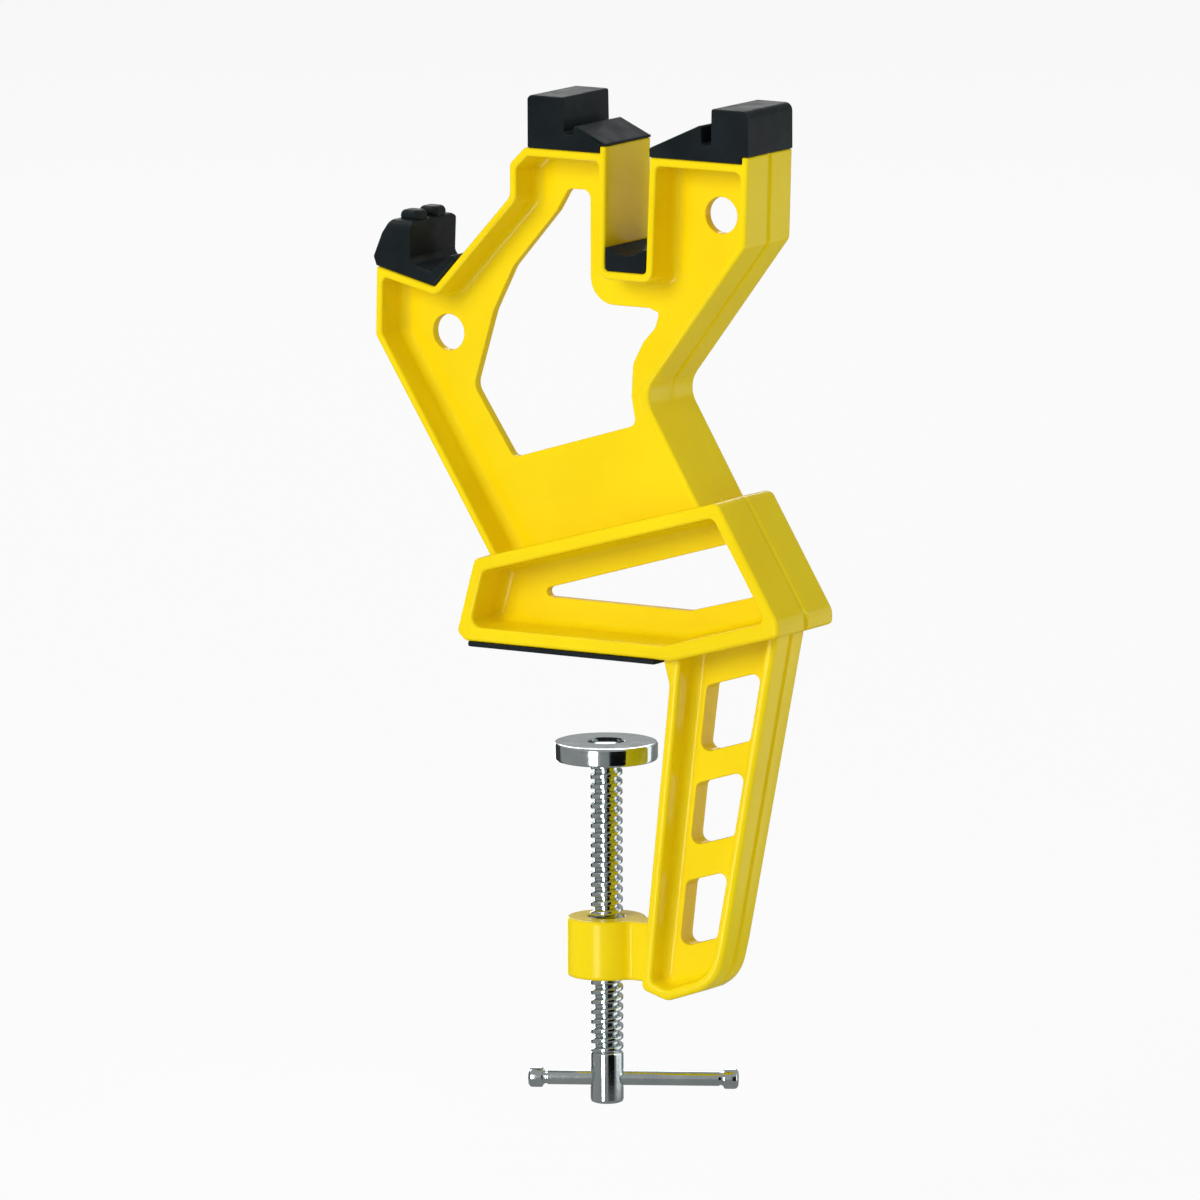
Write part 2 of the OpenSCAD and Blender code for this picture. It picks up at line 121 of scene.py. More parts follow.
def arc(before: Vector, corner: Vector, after: Vector, radius: float, steps: int) -> Ring:
    """Rounds one corner of an outline.

    Args:
        before: The corner before it.
        corner: The corner to round.
        after: The corner after it.
        radius: Radius of the arc; 0 keeps the corner.
        steps: Number of chords of the arc.

    Returns:
        The points of the arc, or the corner alone.
    """
    if radius <= 0:
        return [corner.copy()]
    back = (before - corner).normalized()
    onward = (after - corner).normalized()
    half = back.angle(onward) / 2
    middle = corner + (back + onward).normalized() * (radius / math.sin(half))
    first = corner + back * (radius / math.tan(half)) - middle
    last = corner + onward * (radius / math.tan(half)) - middle
    start = math.atan2(first.y, first.x)
    turn = (math.atan2(last.y, last.x) - start + 3 * math.pi) % (2 * math.pi) - math.pi
    angles = [start + turn * k / steps for k in range(steps + 1)]
    return [middle + radius * Vector((math.cos(a), math.sin(a))) for a in angles]


@dataclass(frozen=True)
class Outline:
    """A closed outline with rounded corners, counter-clockwise, in millimetres."""

    corners: tuple[Point, ...]
    radii: tuple[float, ...]
    steps: int = 6
    least: float = 0.2

    def inset(self, depth: float | Sequence[float]) -> Outline:
        """Moves each side inwards.

        Args:
            depth: One depth, or one for each side, the first side starting at the first corner.

        Returns:
            The outline with as many corners, and radii that keep the arcs parallel.
        """
        count = len(self.corners)
        depths = [depth] * count if isinstance(depth, (int, float)) else list(depth)
        points = [Vector(p) for p in self.corners]
        moved, radii = [], []
        for i, point in enumerate(points):
            along = (point - points[i - 1]).normalized()
            onward = (points[(i + 1) % count] - point).normalized()
            near = point + Vector((-along.y, along.x)) * depths[i - 1]
            far = point + Vector((-onward.y, onward.x)) * depths[i]
            turn = cross(along, onward)
            if abs(turn) > 0.001:
                near = near + along * (cross(far - near, onward) / turn)
            moved.append((near.x, near.y))
            mean = (depths[i - 1] + depths[i]) / 2
            radius = self.radii[i] - mean if turn > 0 else self.radii[i] + mean
            radii.append(max(radius, self.least) if self.radii[i] > 0 else 0.0)
        return Outline(tuple(moved), tuple(radii), self.steps, self.least)

    def ring(self, depth: float | Sequence[float] = 0.0) -> Ring:
        """Rounds the outline's corners.

        Args:
            depth: How far its sides move inwards first: one depth, or one for each.

        Returns:
            The points all round.
        """
        moved = self.inset(depth)
        points = [Vector(p) for p in moved.corners]
        count = len(points)
        out: Ring = []
        for i, point in enumerate(points):
            out += arc(points[i - 1], point, points[(i + 1) % count], moved.radii[i], self.steps)
        return out


@dataclass(frozen=True)
class Round:
    """A circular outline in millimetres."""

    centre: Point
    radius: float
    steps: int = 56

    def ring(self, depth: float = 0.0) -> Ring:
        """Divides the circle.

        Args:
            depth: How far it moves inwards first.

        Returns:
            The points all round.
        """
        angles = [2 * math.pi * k / self.steps for k in range(self.steps)]
        middle = Vector(self.centre)
        return [middle + (self.radius - depth) * Vector((math.cos(a), math.sin(a))) for a in angles]


def edge_round(radius: float, steps: int = 4) -> list[tuple[float, float]]:
    """Returns (inset, depth below the face) pairs of a rounded edge, from the face outwards."""
    turns = [math.pi / 2 * k / steps for k in range(steps + 1)]
    return [(radius * (1 - math.sin(t)), radius * (1 - math.cos(t))) for t in turns]


class Workshop:
    """The modelling steps that all pieces share."""

    @staticmethod
    def rest() -> None:
        """Leaves edit mode and deselects everything."""
        if bpy.context.object is not None and bpy.context.object.mode != "OBJECT":
            bpy.ops.object.mode_set(mode="OBJECT")
        bpy.ops.object.select_all(action="DESELECT")

    @classmethod
    def pick(cls, *pieces: Piece) -> None:
        """Selects these pieces alone; the first one is active.

        Args:
            pieces: The pieces.
        """
        cls.rest()
        for piece in pieces:
            piece.select_set(True)
        bpy.context.view_layer.objects.active = pieces[0]

    @classmethod
    @contextmanager
    def edit(cls, piece: Piece, kind: str = "VERT", action: str = "SELECT") -> Iterator[None]:
        """Opens a piece in edit mode with all of it selected, or nothing, and leaves it again.

        Args:
            piece: The piece.
            kind: What edit mode selects: VERT or EDGE.
            action: SELECT or DESELECT.

        Yields:
            Nothing, once, while the piece is open.
        """
        cls.pick(piece)
        bpy.ops.object.mode_set(mode="EDIT")
        bpy.ops.mesh.select_mode(type=kind)
        bpy.ops.mesh.select_all(action=action)
        yield
        bpy.ops.object.mode_set(mode="OBJECT")

    @classmethod
    @contextmanager
    def edges(cls, piece: Piece, chosen: Callable[[bmesh.types.BMEdge], bool]) -> Iterator[None]:
        """Opens a piece in edit mode with only the chosen edges selected.

        Args:
            piece: The piece.
            chosen: Says of an edge whether it is selected.

        Yields:
            Nothing, once, while the piece is open.
        """
        with cls.edit(piece, "EDGE", "DESELECT"):
            mesh = bmesh.from_edit_mesh(piece.data)
            for edge in filter(chosen, mesh.edges):
                edge.select_set(True)
            bmesh.update_edit_mesh(piece.data)
            yield

    @staticmethod
    def solid(points: Ring, plane: Plane, height: Callable[[Vector], float]) -> Ring:
        """Places plane points in space.

        Args:
            points: Points of an outline.
            plane: The plane they lie in.
            height: Gives each point's third coordinate.

        Returns:
            The points in metres.
        """
        placed = []
        for point in points:
            spot = [point.x, point.y]
            spot.insert(plane.value, height(point))
            placed.append(Vector(spot) * MM)
        return placed

    @classmethod
    def tube(cls, name: str, rings: Sequence[Ring]) -> Piece:
        """Draws a skin ring by ring: a circle is set to the first ring and extruded to the next.

        Args:
            name: Name of the piece.
            rings: Rings with as many points each, in metres.

        Returns:
            An open tube.
        """
        cls.rest()
        bpy.ops.mesh.primitive_circle_add(vertices=len(rings[0]), radius=MM, fill_type="NOTHING")
        piece = bpy.context.object
        piece.name = name
        piece.location = (0, 0, 0)
        for vertex, point in zip(piece.data.vertices, rings[0]):
            vertex.co = point
        last = list(range(len(rings[0])))
        with cls.edit(piece):
            for ring in rings[1:]:
                bpy.ops.mesh.extrude_region_move()
                mesh = bmesh.from_edit_mesh(piece.data)
                mesh.verts.ensure_lookup_table()
                mesh.verts.index_update()
                following = []
                for index in last:
                    vertex = mesh.verts[index]
                    ends = [edge.other_vert(vertex) for edge in vertex.link_edges]
                    following.append(next(v.index for v in ends if v.select))
                for index, point in zip(following, ring):
                    mesh.verts[index].co = point
                bmesh.update_edit_mesh(piece.data)
                last = following
        return piece

    @classmethod
    def fill(cls, piece: Piece, chosen: Callable[[Vector], bool]) -> None:
        """Closes one flat gap, whose border is all open edges whose ends are chosen.

        Args:
            piece: The piece.
            chosen: Says of a point in metres whether it may lie on the border.
        """
        def border(edge: bmesh.types.BMEdge) -> bool:
            """Says whether an edge is part of the border."""
            return len(edge.link_faces) == 1 and all(chosen(v.co) for v in edge.verts)

        with cls.edges(piece, border):
            bpy.ops.mesh.fill(use_beauty=True)

    @classmethod
    def join(cls, name: str, *pieces: Piece) -> Piece:
        """Joins pieces into the first one.

        Args:
            name: New name of the first one.
            pieces: The pieces.

        Returns:
            The first piece, which holds them all.
        """
        cls.pick(*pieces)
        if len(pieces) > 1:
            bpy.ops.object.join()
        pieces[0].name = name
        return pieces[0]

    @classmethod
    def close(cls, piece: Piece, merge: float = 0.004) -> Piece:
        """Merges doubles, drops loose edges and turns all faces outwards.

        Args:
            piece: The piece.
            merge: Distance in millimetres under which points are one.

        Returns:
            The same piece.
        """
        with cls.edit(piece):
            bpy.ops.mesh.remove_doubles(threshold=merge * MM)
            bpy.ops.mesh.delete_loose(use_verts=True, use_edges=True, use_faces=False)
            bpy.ops.mesh.select_all(action="SELECT")
            bpy.ops.mesh.normals_make_consistent(inside=False)
        return piece

    @classmethod
    def prism(cls, name: str, outline: Outline | Round, low: float, high: float, plane: Plane,
              edge: float = 0.6, crown: float = 0.0) -> Piece:
        """Extrudes an outline and rounds the edges at both ends.

        Args:
            name: Name of the piece.
            outline: Its outline.
            low: Lower end over the plane.
            high: Upper end over the plane.
            plane: The outline's plane.
            edge: Radius of the end edges.
            crown: How much the sides stand in at the ends.

        Returns:
            A closed piece.
        """
        stations = [(inset + crown, low + back) for inset, back in edge_round(edge)]
        stations += [(0.0, (low + high) / 2)] if crown else []
        stations += [(inset + crown, high - back) for inset, back in reversed(edge_round(edge))]
        rings = [cls.solid(outline.ring(i), plane, lambda p, h=h: h) for i, h in stations]
        piece = cls.tube(name, rings)
        middle = (low + high) / 2 * MM
        cls.fill(piece, lambda co: co[plane.value] < middle)
        cls.fill(piece, lambda co: co[plane.value] > middle)
        return cls.close(piece)

    @classmethod
    def line(cls, name: str, points: Ring) -> Piece:
        """Draws an open line by extruding one vertex from point to point.

        Args:
            name: Name of the piece.
            points: The points in metres.

        Returns:
            The line.
        """
        cls.rest()
        bpy.ops.mesh.primitive_plane_add(size=MM)
        piece = bpy.context.object
        piece.name = name
        with cls.edit(piece):
            bpy.ops.mesh.merge(type="CENTER")
            mesh = bmesh.from_edit_mesh(piece.data)
            mesh.verts.ensure_lookup_table()
            mesh.verts[0].co = points[0]
            bmesh.update_edit_mesh(piece.data)
            for before, after in zip(points, points[1:]):
                bpy.ops.mesh.extrude_region_move(TRANSFORM_OT_translate={"value": after - before})
        return piece

    @classmethod
    def lathe(cls, name: str, profile: Sequence[Point], foot: Vector, axis: Vector = UP,
              steps: int = 64) -> Piece:
        """Turns a profile about an axis.

        Args:
            name: Name of the piece.
            profile: (radius, height) pairs in millimetres, open or ending on the axis.
            foot: Point on the axis at height 0, in millimetres.
            axis: Direction of the axis.
            steps: Steps of a full turn.

        Returns:
            A closed piece.
        """
        side = axis.cross(Vector((0, 1, 0))).normalized()
        piece = cls.line(name, [(foot + side * r + axis * h) * MM for r, h in profile])
        with cls.edit(piece):
            bpy.ops.mesh.spin(steps=steps, angle=2 * math.pi, center=foot * MM, axis=axis)
        return cls.close(piece)

    @classmethod
    def apply(cls, piece: Piece, kind: str, **settings: object) -> None:
        """Adds a modifier with these settings to a piece and applies it.

        Args:
            piece: The piece.
            kind: The modifier's type.
            settings: Its properties.
        """
        cls.pick(piece)
        modifier = piece.modifiers.new(kind.lower(), kind)
        for key, value in settings.items():
            setattr(modifier, key, value)
        bpy.ops.object.modifier_apply(modifier=modifier.name)

    @classmethod
    def boolean(cls, piece: Piece, tool: Piece, operation: str) -> Piece:
        """Unites a piece with a tool, or cuts it by one, and removes the tool.

        Args:
            piece: The piece.
            tool: The other piece.
            operation: UNION, DIFFERENCE or INTERSECT.

        Returns:
            The same piece.
        """
        cls.apply(piece, "BOOLEAN", operation=operation, solver="EXACT", object=tool)
        bpy.data.objects.remove(tool)
        return piece

    @classmethod
    def bevel(cls, piece: Piece, chosen: Callable[[bmesh.types.BMEdge], bool], width: float,
              segments: int = 4) -> None:
        """Rounds the chosen edges, each between two faces, by a width in millimetres."""
        with cls.edges(piece, lambda edge: len(edge.link_faces) == 2 and chosen(edge)):
            bpy.ops.mesh.bevel(offset=width * MM, segments=segments, affect="EDGES", clamp_overlap=True)

    @classmethod
    def polish(cls, piece: Piece, angle: float = 35.0) -> Piece:
        """Shades smooth up to an angle in degrees, with flat faces kept flat.

        Args:
            piece: The piece.
            angle: Edges sharper than this stay sharp.

        Returns:
            The same piece.
        """
        cls.pick(piece)
        bpy.ops.object.shade_smooth_by_angle(angle=math.radians(angle))
        cls.apply(piece, "WEIGHTED_NORMAL", keep_sharp=True, weight=80)
        return piece


class Nodes:
    """The node tree of a material or of the world while it is wired."""

    def __init__(self, owner: bpy.types.Material | bpy.types.World, shader: str = "Principled BSDF") -> None:
        """Opens the tree.

        Args:
            owner: The material or the world.
            shader: Name of the tree's first shader.
        """
        self.owner = owner
        self.owner.use_nodes = True
        self.tree = self.owner.node_tree
        self.shader = self.tree.nodes[shader]

    @classmethod
    def material(cls, name: str) -> Nodes:
        """Opens a new material with a Principled shader."""
        return cls(bpy.data.materials.new(name))

    def feed(self, socket: Output, value: object) -> None:
        """Links an output to a socket, or sets the socket's value.

        Args:
            socket: The input socket.
            value: An output, or a plain value.
        """
        if isinstance(value, Output):
            self.tree.links.new(value, socket)
        else:
            socket.default_value = value

    def node(self, kind: str, settings: dict | None = None, **inputs: object) -> bpy.types.Node:
        """Adds a node.

        Args:
            kind: Its type after ShaderNode.
            settings: Its properties.
            inputs: Sockets by name, with _ for a space: a value or an output to link.

        Returns:
            The node.
        """
        made = self.tree.nodes.new("ShaderNode" + kind)
        for key, value in (settings or {}).items():
            setattr(made, key, value)
        for key, value in inputs.items():
            self.feed(made.inputs[key.replace("_", " ")], value)
        return made

    def place(self) -> Output:
        """Returns the object's own coordinates."""
        return self.node("TexCoord").outputs["Object"]

    def noise(self, scale: float, detail: float, place: Output | None = None) -> Output:
        """Returns the factor of a noise texture of so many features a metre."""
        where = self.place() if place is None else place
        return self.node("TexNoise", Vector=where, Scale=scale, Detail=detail).outputs["Fac"]

    def ramp(self, factor: Output, low: float, high: float, start: float | Output, end: float) -> Output:
        """Returns factor's range from low to high spread from start to end."""
        made = self.node("MapRange", Value=factor, From_Min=low, From_Max=high, To_Min=start, To_Max=end)
        return made.outputs["Result"]

    def blend(self, factor: Output, first: Colour, second: Colour) -> Output:
        """Mixes two colours.

        Args:
            factor: Share of the second one.
            first: A colour.
            second: A colour.

        Returns:
            The mixed colour.
        """
        made = self.node("Mix", {"data_type": "RGBA"})
        for index, value in ((0, factor), (6, (*first, 1)), (7, (*second, 1))):
            self.feed(made.inputs[index], value)
        return made.outputs[2]

    def bump(self, height: Output, depth: float, strength: float, normal: Output | None = None) -> Output:
        """Returns a normal bumped by height over a depth in metres."""
        more = {} if normal is None else {"Normal": normal}
        return self.node("Bump", Height=height, Distance=depth, Strength=strength, **more).outputs["Normal"]

    def shown(self, rest: float, mirrored: float) -> Output:
        """Tells the camera's rays from the others.

        Args:
            rest: Value for all rays but those below.
            mirrored: Value for glossy and transmission rays.

        Returns:
            The value, which is 1 for camera rays.
        """
        path = self.node("LightPath").outputs
        clear = self.node("Math", {"operation": "MAXIMUM"})
        for socket, ray in zip(clear.inputs, ("Is Glossy Ray", "Is Transmission Ray")):
            self.feed(socket, path[ray])
        other = self.ramp(clear.outputs[0], 0, 1, rest, mirrored)
        return self.ramp(path["Is Camera Ray"], 0, 1, other, 1)

    def wire(self, **inputs: object) -> None:
        """Sets or links the shader's sockets, with _ for a space."""
        for key, value in inputs.items():
            self.feed(self.shader.inputs[key.replace("_", " ")], value)

    def surface(self, shader: bpy.types.Node) -> None:
        """Makes another node the material's surface."""
        self.feed(self.tree.nodes["Material Output"].inputs["Surface"], shader.outputs[0])


@dataclass(frozen=True)
class YellowPlastic:
    """Glossy moulded plastic with a faint flow pattern and a fine moulded skin."""

    name: str = "yellow_moulded_plastic"
    colour: Colour = (0.93, 0.715, 0.005)
    deep: Colour = (0.88, 0.65, 0.003)
    roughness: tuple[float, float] = (0.15, 0.25)

    def make(self) -> bpy.types.Material:
        """Makes the material.

        Returns:
            The material.
        """
        nodes = Nodes.material(self.name)
        flow = nodes.ramp(nodes.noise(26, 3), 0.35, 0.7, 0.0, 1.0)
        skin = nodes.bump(nodes.noise(1500, 2), 0.00003, 0.35)
        waved = nodes.bump(nodes.noise(240, 1), 0.00006, 0.3, skin)
        gloss = nodes.ramp(nodes.noise(90, 3), 0.3, 0.75, *self.roughness)
        nodes.wire(Base_Color=nodes.blend(flow, self.colour, self.deep), Roughness=gloss, Normal=waved,
                   IOR=1.5, Specular_IOR_Level=0.17)
        return nodes.owner


@dataclass(frozen=True)
class CharcoalRubber:
    """Dark rubber with a fine grain and a trace of dust."""

    name: str = "charcoal_rubber"
    colour: Colour = (0.004, 0.008, 0.010)
    dust: Colour = (0.009, 0.015, 0.018)

    def make(self) -> bpy.types.Material:
        """Makes the material.

        Returns:
            The material.
        """
        nodes = Nodes.material(self.name)
        cloud = nodes.ramp(nodes.noise(70, 4), 0.4, 0.75, 0.0, 1.0)
        grain = nodes.bump(nodes.noise(2600, 3), 0.00005, 0.4)
        pores = nodes.node("TexVoronoi", Vector=nodes.place(), Scale=1400).outputs["Distance"]
        rough = nodes.ramp(nodes.noise(160, 3), 0.3, 0.7, 0.42, 0.58)
        normal = nodes.bump(pores, 0.00005, 0.35, grain)
        nodes.wire(Base_Color=nodes.blend(cloud, self.colour, self.dust), Roughness=rough, Normal=normal,
                   IOR=1.5, Specular_IOR_Level=0.24)
        return nodes.owner


class Turning(Enum):
    """How the marks of the lathe lie on a steel piece."""

    RINGS_UP = "rings up the screw"
    FACE = "rings on the flat faces and round the rim"
    BAR = "drawn along the bar"


@dataclass(frozen=True)
class BrightSteel:
    """Bright plated steel with turning marks about the piece's own axis."""

    name: str
    turning: Turning
    centre: Vector
    heading: float = 0.0
    colour: Colour = (0.70, 0.765, 0.77)
    cloud: Colour = (0.60, 0.665, 0.675)
    roughness: tuple[float, float] = (0.07, 0.16)

    def make(self) -> bpy.types.Material:
        """Makes the material.

        Returns:
            The material.
        """
        nodes = Nodes.material(self.name)
        moved = nodes.node("Mapping", {"vector_type": "TEXTURE"}, Vector=nodes.place(),
                           Location=tuple(self.centre * MM), Rotation=(0, 0, self.heading))
        place = moved.outputs[0]
        patch = nodes.ramp(nodes.noise(110, 4, place), 0.35, 0.7, 0.0, 1.0)
        gloss = nodes.ramp(nodes.noise(260, 3, place), 0.3, 0.75, *self.roughness)
        if self.turning is Turning.BAR:
            stretch = nodes.node("Mapping", Vector=place, Scale=(40, 1800, 1800))
            marks = nodes.noise(1, 3, stretch.outputs[0])
        elif self.turning is Turning.FACE:
            marks = nodes.node("TexWave", {"wave_type": "RINGS", "rings_direction": "Z"}, Vector=place,
                               Scale=520, Distortion=0.6, Detail=2).outputs["Fac"]
        else:
            marks = nodes.node("TexWave", {"wave_type": "BANDS", "bands_direction": "Z"}, Vector=place,
                               Scale=900, Distortion=1.2, Detail=2).outputs["Fac"]
        normal = nodes.bump(marks, 0.00002, 0.22, nodes.bump(nodes.noise(900, 2, place), 0.00002, 0.2))
        nodes.wire(Base_Color=nodes.blend(patch, self.colour, self.cloud), Roughness=gloss, Normal=normal,
                   Metallic=1.0)
        return nodes.owner


def finish_piece(piece: Piece, material: bpy.types.Material, body: Body, slot: Slot, *nodes: str) -> Piece:
    """Dresses a piece, lets it ride and says which CAD nodes it stands for.

    Args:
        piece: The finished mesh.
        material: Its finish.
        body: The body that it moves with.
        slot: The slot for its finish; not used.
        nodes: CAD nodes that it replaces.

    Returns:
        The piece.
    """
    piece.data.materials.clear()
    piece.data.materials.append(material)
    for face in piece.data.polygons:
        face.material_index = 0
    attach(piece, body.value)
    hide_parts(*nodes)
    LOG.info("%s: %d faces on %s for %s", piece.name, len(piece.data.polygons), body.value, ", ".join(nodes))
    return piece


@dataclass
class RibbedShape:
    """One stretch of the moulding: a rim all round, a web between, and windows through it."""

    name: str
    outline: Outline
    pocket: Outline
    windows: tuple[Outline | Round, ...]
    half_width: Callable[[Vector], float]
    half_web: float
    crown: tuple[float, ...]
    groove: tuple[float, ...]
    roots: tuple[float, ...]
    rim_radius: float = 1.0
    pocket_radius: float = 0.8
    root_height: float = 3.0
    root_steps: int = 7
    draft: float = 0.4
    window_radius: float = 0.45
    open_over: float = 1.2

    def outer_skin(self) -> Piece:
        """Makes the outer faces, from one rim to the other, with the mould line's groove.

        Returns:
            An open skin.
        """
        half = self.half_width
        stations = [(1.0, inset, 0.0, lambda p, back=back: half(p) - back)
                    for inset, back in edge_round(self.rim_radius)]
        stations.append((0.5, 0.0, 0.0, lambda p: half(p) * 0.5))
        stations += [(share, 0.0, dig, lambda p, rise=rise: rise) for share, dig, rise in MOULD_LINE]
        both = [(-1, s) for s in stations] + [(1, s) for s in reversed(stations[:-1])]
        rings = []
        for sign, (share, extra, dig, height) in both:
            depths = [c * share + extra + g * dig for c, g in zip(self.crown, self.groove)]
            points = self.outline.ring(depths)
            rings.append(Workshop.solid(points, Plane.SIDE, lambda p, h=height, s=sign: s * h(p)))
        return Workshop.tube(self.name, rings)

    def pocket_skin(self, side: int) -> Piece:
        """Makes a pocket's walls with their root fillet.

        Args:
            side: -1 for the pocket on the side of -Y and 1 for the one on +Y.

        Returns:
            An open skin.
        """
        half = self.half_width
        stations = [(-inset, lambda p, back=back: half(p) - back)
                    for inset, back in edge_round(self.pocket_radius)]
        for turn in (math.pi / 2 * k / self.root_steps for k in range(self.root_steps + 1)):
            rise = self.half_web + self.root_height * (1 - math.sin(turn))
            spread = [self.draft + root * (1 - math.cos(turn)) for root in self.roots]
            stations.append((spread, lambda p, rise=rise: rise))
        rings = [Workshop.solid(self.pocket.ring(i), Plane.SIDE, lambda p, h=h: side * h(p))
                 for i, h in stations]
        return Workshop.tube(f"{self.name}_pocket", rings)

    def window_skin(self, window: Outline | Round) -> Piece:
        """Makes the wall of a window through the web, with rounded edges.

        Args:
            window: Its outline.

        Returns:
            An open skin.
        """
        stations = [(-inset, back - self.half_web) for inset, back in edge_round(self.window_radius, 3)]
        stations += [(inset, -height) for inset, height in reversed(stations)]
        rings = [Workshop.solid(window.ring(i), Plane.SIDE, lambda p, h=h: h) for i, h in stations]
        return Workshop.tube(f"{self.name}_window", rings)

    def build(self) -> Piece:
        """Joins the skins and closes the gaps between them.

        Returns:
            The closed piece.
        """
        skins = [self.outer_skin(), self.pocket_skin(-1), self.pocket_skin(1)]
        skins += [self.window_skin(w) for w in self.windows]
        piece = Workshop.join(self.name, *skins)
        split = (self.half_web + self.open_over) * MM
        for side in (-1, 1):
            Workshop.fill(piece, lambda co, s=side: s * co.y > split)
            Workshop.fill(piece, lambda co, s=side: 0 < s * co.y < split)
        return Workshop.close(piece)


@dataclass
class Column:
    """The column over the base: arm, V, two jaw blocks and the clamping slot between them."""

    shelf: Slope
    width: float = 26.0
    web: float = 3.3
    flange: float = 2.6
    arm_foot: float = -60.0
    column_foot: float = 14.7
    waist: Point = (-4.6, 80.7)
    block_bend: Point = (31.1, 127.5)
    block_reach: float = 32.0
    seat: float = 152.5
    slot_inner: float = -18.4
    slot_width: float = 14.2
    slot_floor: float = 117.2
    slot_flare: Point = (0.6, 1.6)
    lip_height: float = 2.2
    lip_thick: float = 2.3
    block_side: Point = (-52.2, 137.4)
    block_chamfer: float = 5.4
    notch: Point = (-79.2, 108.1)
    arm_tip: Point = (-100.0, 113.0)
    arm_bend: Point = (-100.5, 91.8)
    hole: float = 11.0
    arm_hole: Point = (-81.2, 92.7)
    block_hole: Point = (15.7, 135.0)
    inner_web: float = 9.5
    bury: float = 3.0

    def slot_edges(self) -> tuple[float, float]:
        """Returns the slot's inner and outer edge at its mouth."""
        return self.slot_inner + self.slot_flare[0], self.slot_inner + self.slot_width + self.slot_flare[1]

    def feet(self) -> tuple[Point, Point]:
        """Returns the points of the shelf that the arm's side and the column's side meet."""
        return tuple((x, self.shelf.z(x)) for x in (self.arm_foot, self.column_foot))

    def corners(self, feet: tuple[Point, ...], lips: bool) -> tuple[Point, ...]:
        """Lists the corners all round.

        Args:
            feet: The first two corners, on the base.
            lips: Whether the blocks carry their lips.

        Returns:
            The corners, counter-clockwise.
        """
        seat, side = self.seat, self.block_side
        ends = []
        for x in (self.block_reach, self.slot_edges()[0]):
            top, back = seat + self.lip_height, x - self.lip_thick
            ends.append(((x, top), (back, top), (back, seat)) if lips else ((x, seat),))
        return (*feet, self.waist, self.block_bend, *ends[0], (self.slot_edges()[1], seat),
                (self.slot_inner + self.slot_width, self.slot_floor), (self.slot_inner, self.slot_floor),
                *ends[1], (side[0] + self.block_chamfer, seat), (side[0], seat - self.block_chamfer), side,
                self.notch, self.arm_tip, self.arm_bend)

    def outline(self) -> Outline:
        """Draws the outer outline, with its foot buried in the base.

        Returns:
            The outline.
        """
        buried = []
        for (x, z), (over_x, over_z) in zip(self.feet(), (self.arm_bend, self.waist)):
            buried.append((x - (over_x - x) / (over_z - z) * self.bury, z - self.bury))
        radii = (0.3, 0.3, 8, 3, 0.6, 0.5, 0.3, 0.7, 1.2, 1.2, 0.5, 0.5, 0.3, 2, 2, 4, 1.2, 0.8, 4)
        return Outline(self.corners(tuple(buried), True), radii)

    def pocket(self) -> Outline:
        """Returns the pocket's outline inside the rim."""
        whole = Outline(self.corners(self.feet(), False), (0.0,) * 15).inset([-2.4] + [self.flange] * 14)
        return Outline(whole.corners, (1, 1, 6, 4, 2, 1.5, 3.6, 3.6, 1.5, 1.5, 1.5, 4, 4, 1.5, 3))

    def windows(self) -> tuple[Outline | Round, ...]:
        """Draws the large window and the two round holes.

        Returns:
            Their outlines.
        """
        left = self.slot_inner - self.flange - self.inner_web
        corners = (
            (-58.1, 56.3), (-14.7, 69.4), (-16.2, 78), (-15.6, 88), (-12, 94.8), (-7.7, 99.5), (-6.4, 104),
            (-10, 105.2), (left, 105.2), (left, 139.4), (-38.1, 139.3), (-42.3, 132.3), (-57.9, 114.4),
            (-65, 100.5), (-72.1, 77.2),
        )
        radii = (2.5, 2.5, 4, 6, 4, 4, 1, 2, 8, 2.5, 2.5, 4, 8, 8, 5)
        holes = (Round(middle, self.hole / 2) for middle in (self.arm_hole, self.block_hole))
        return (Outline(corners, radii), *holes)

    def build(self) -> Piece:
        """Makes the column.

        Returns:
            The closed piece.
        """
        crown = (0, 0.2, 0.2, 0.1, 0.1, 0, 0, 0.1, 0, 0.1, 0.1, 0, 0, 0, 0.1, 0.15, 0.1, 0.2, 0.2)
        groove = (0, 0, 0.95, 0.95, 0, 0, 0, 0, 0, 0, 0, 0, 0, 0, 0, 0, 0, 0, 0)
        roots = (1.5,) + (3.0,) * 14
        return RibbedShape("column", self.outline(), self.pocket(), self.windows(), lambda p: self.width / 2,
                           self.web / 2, crown, groove, roots).build()


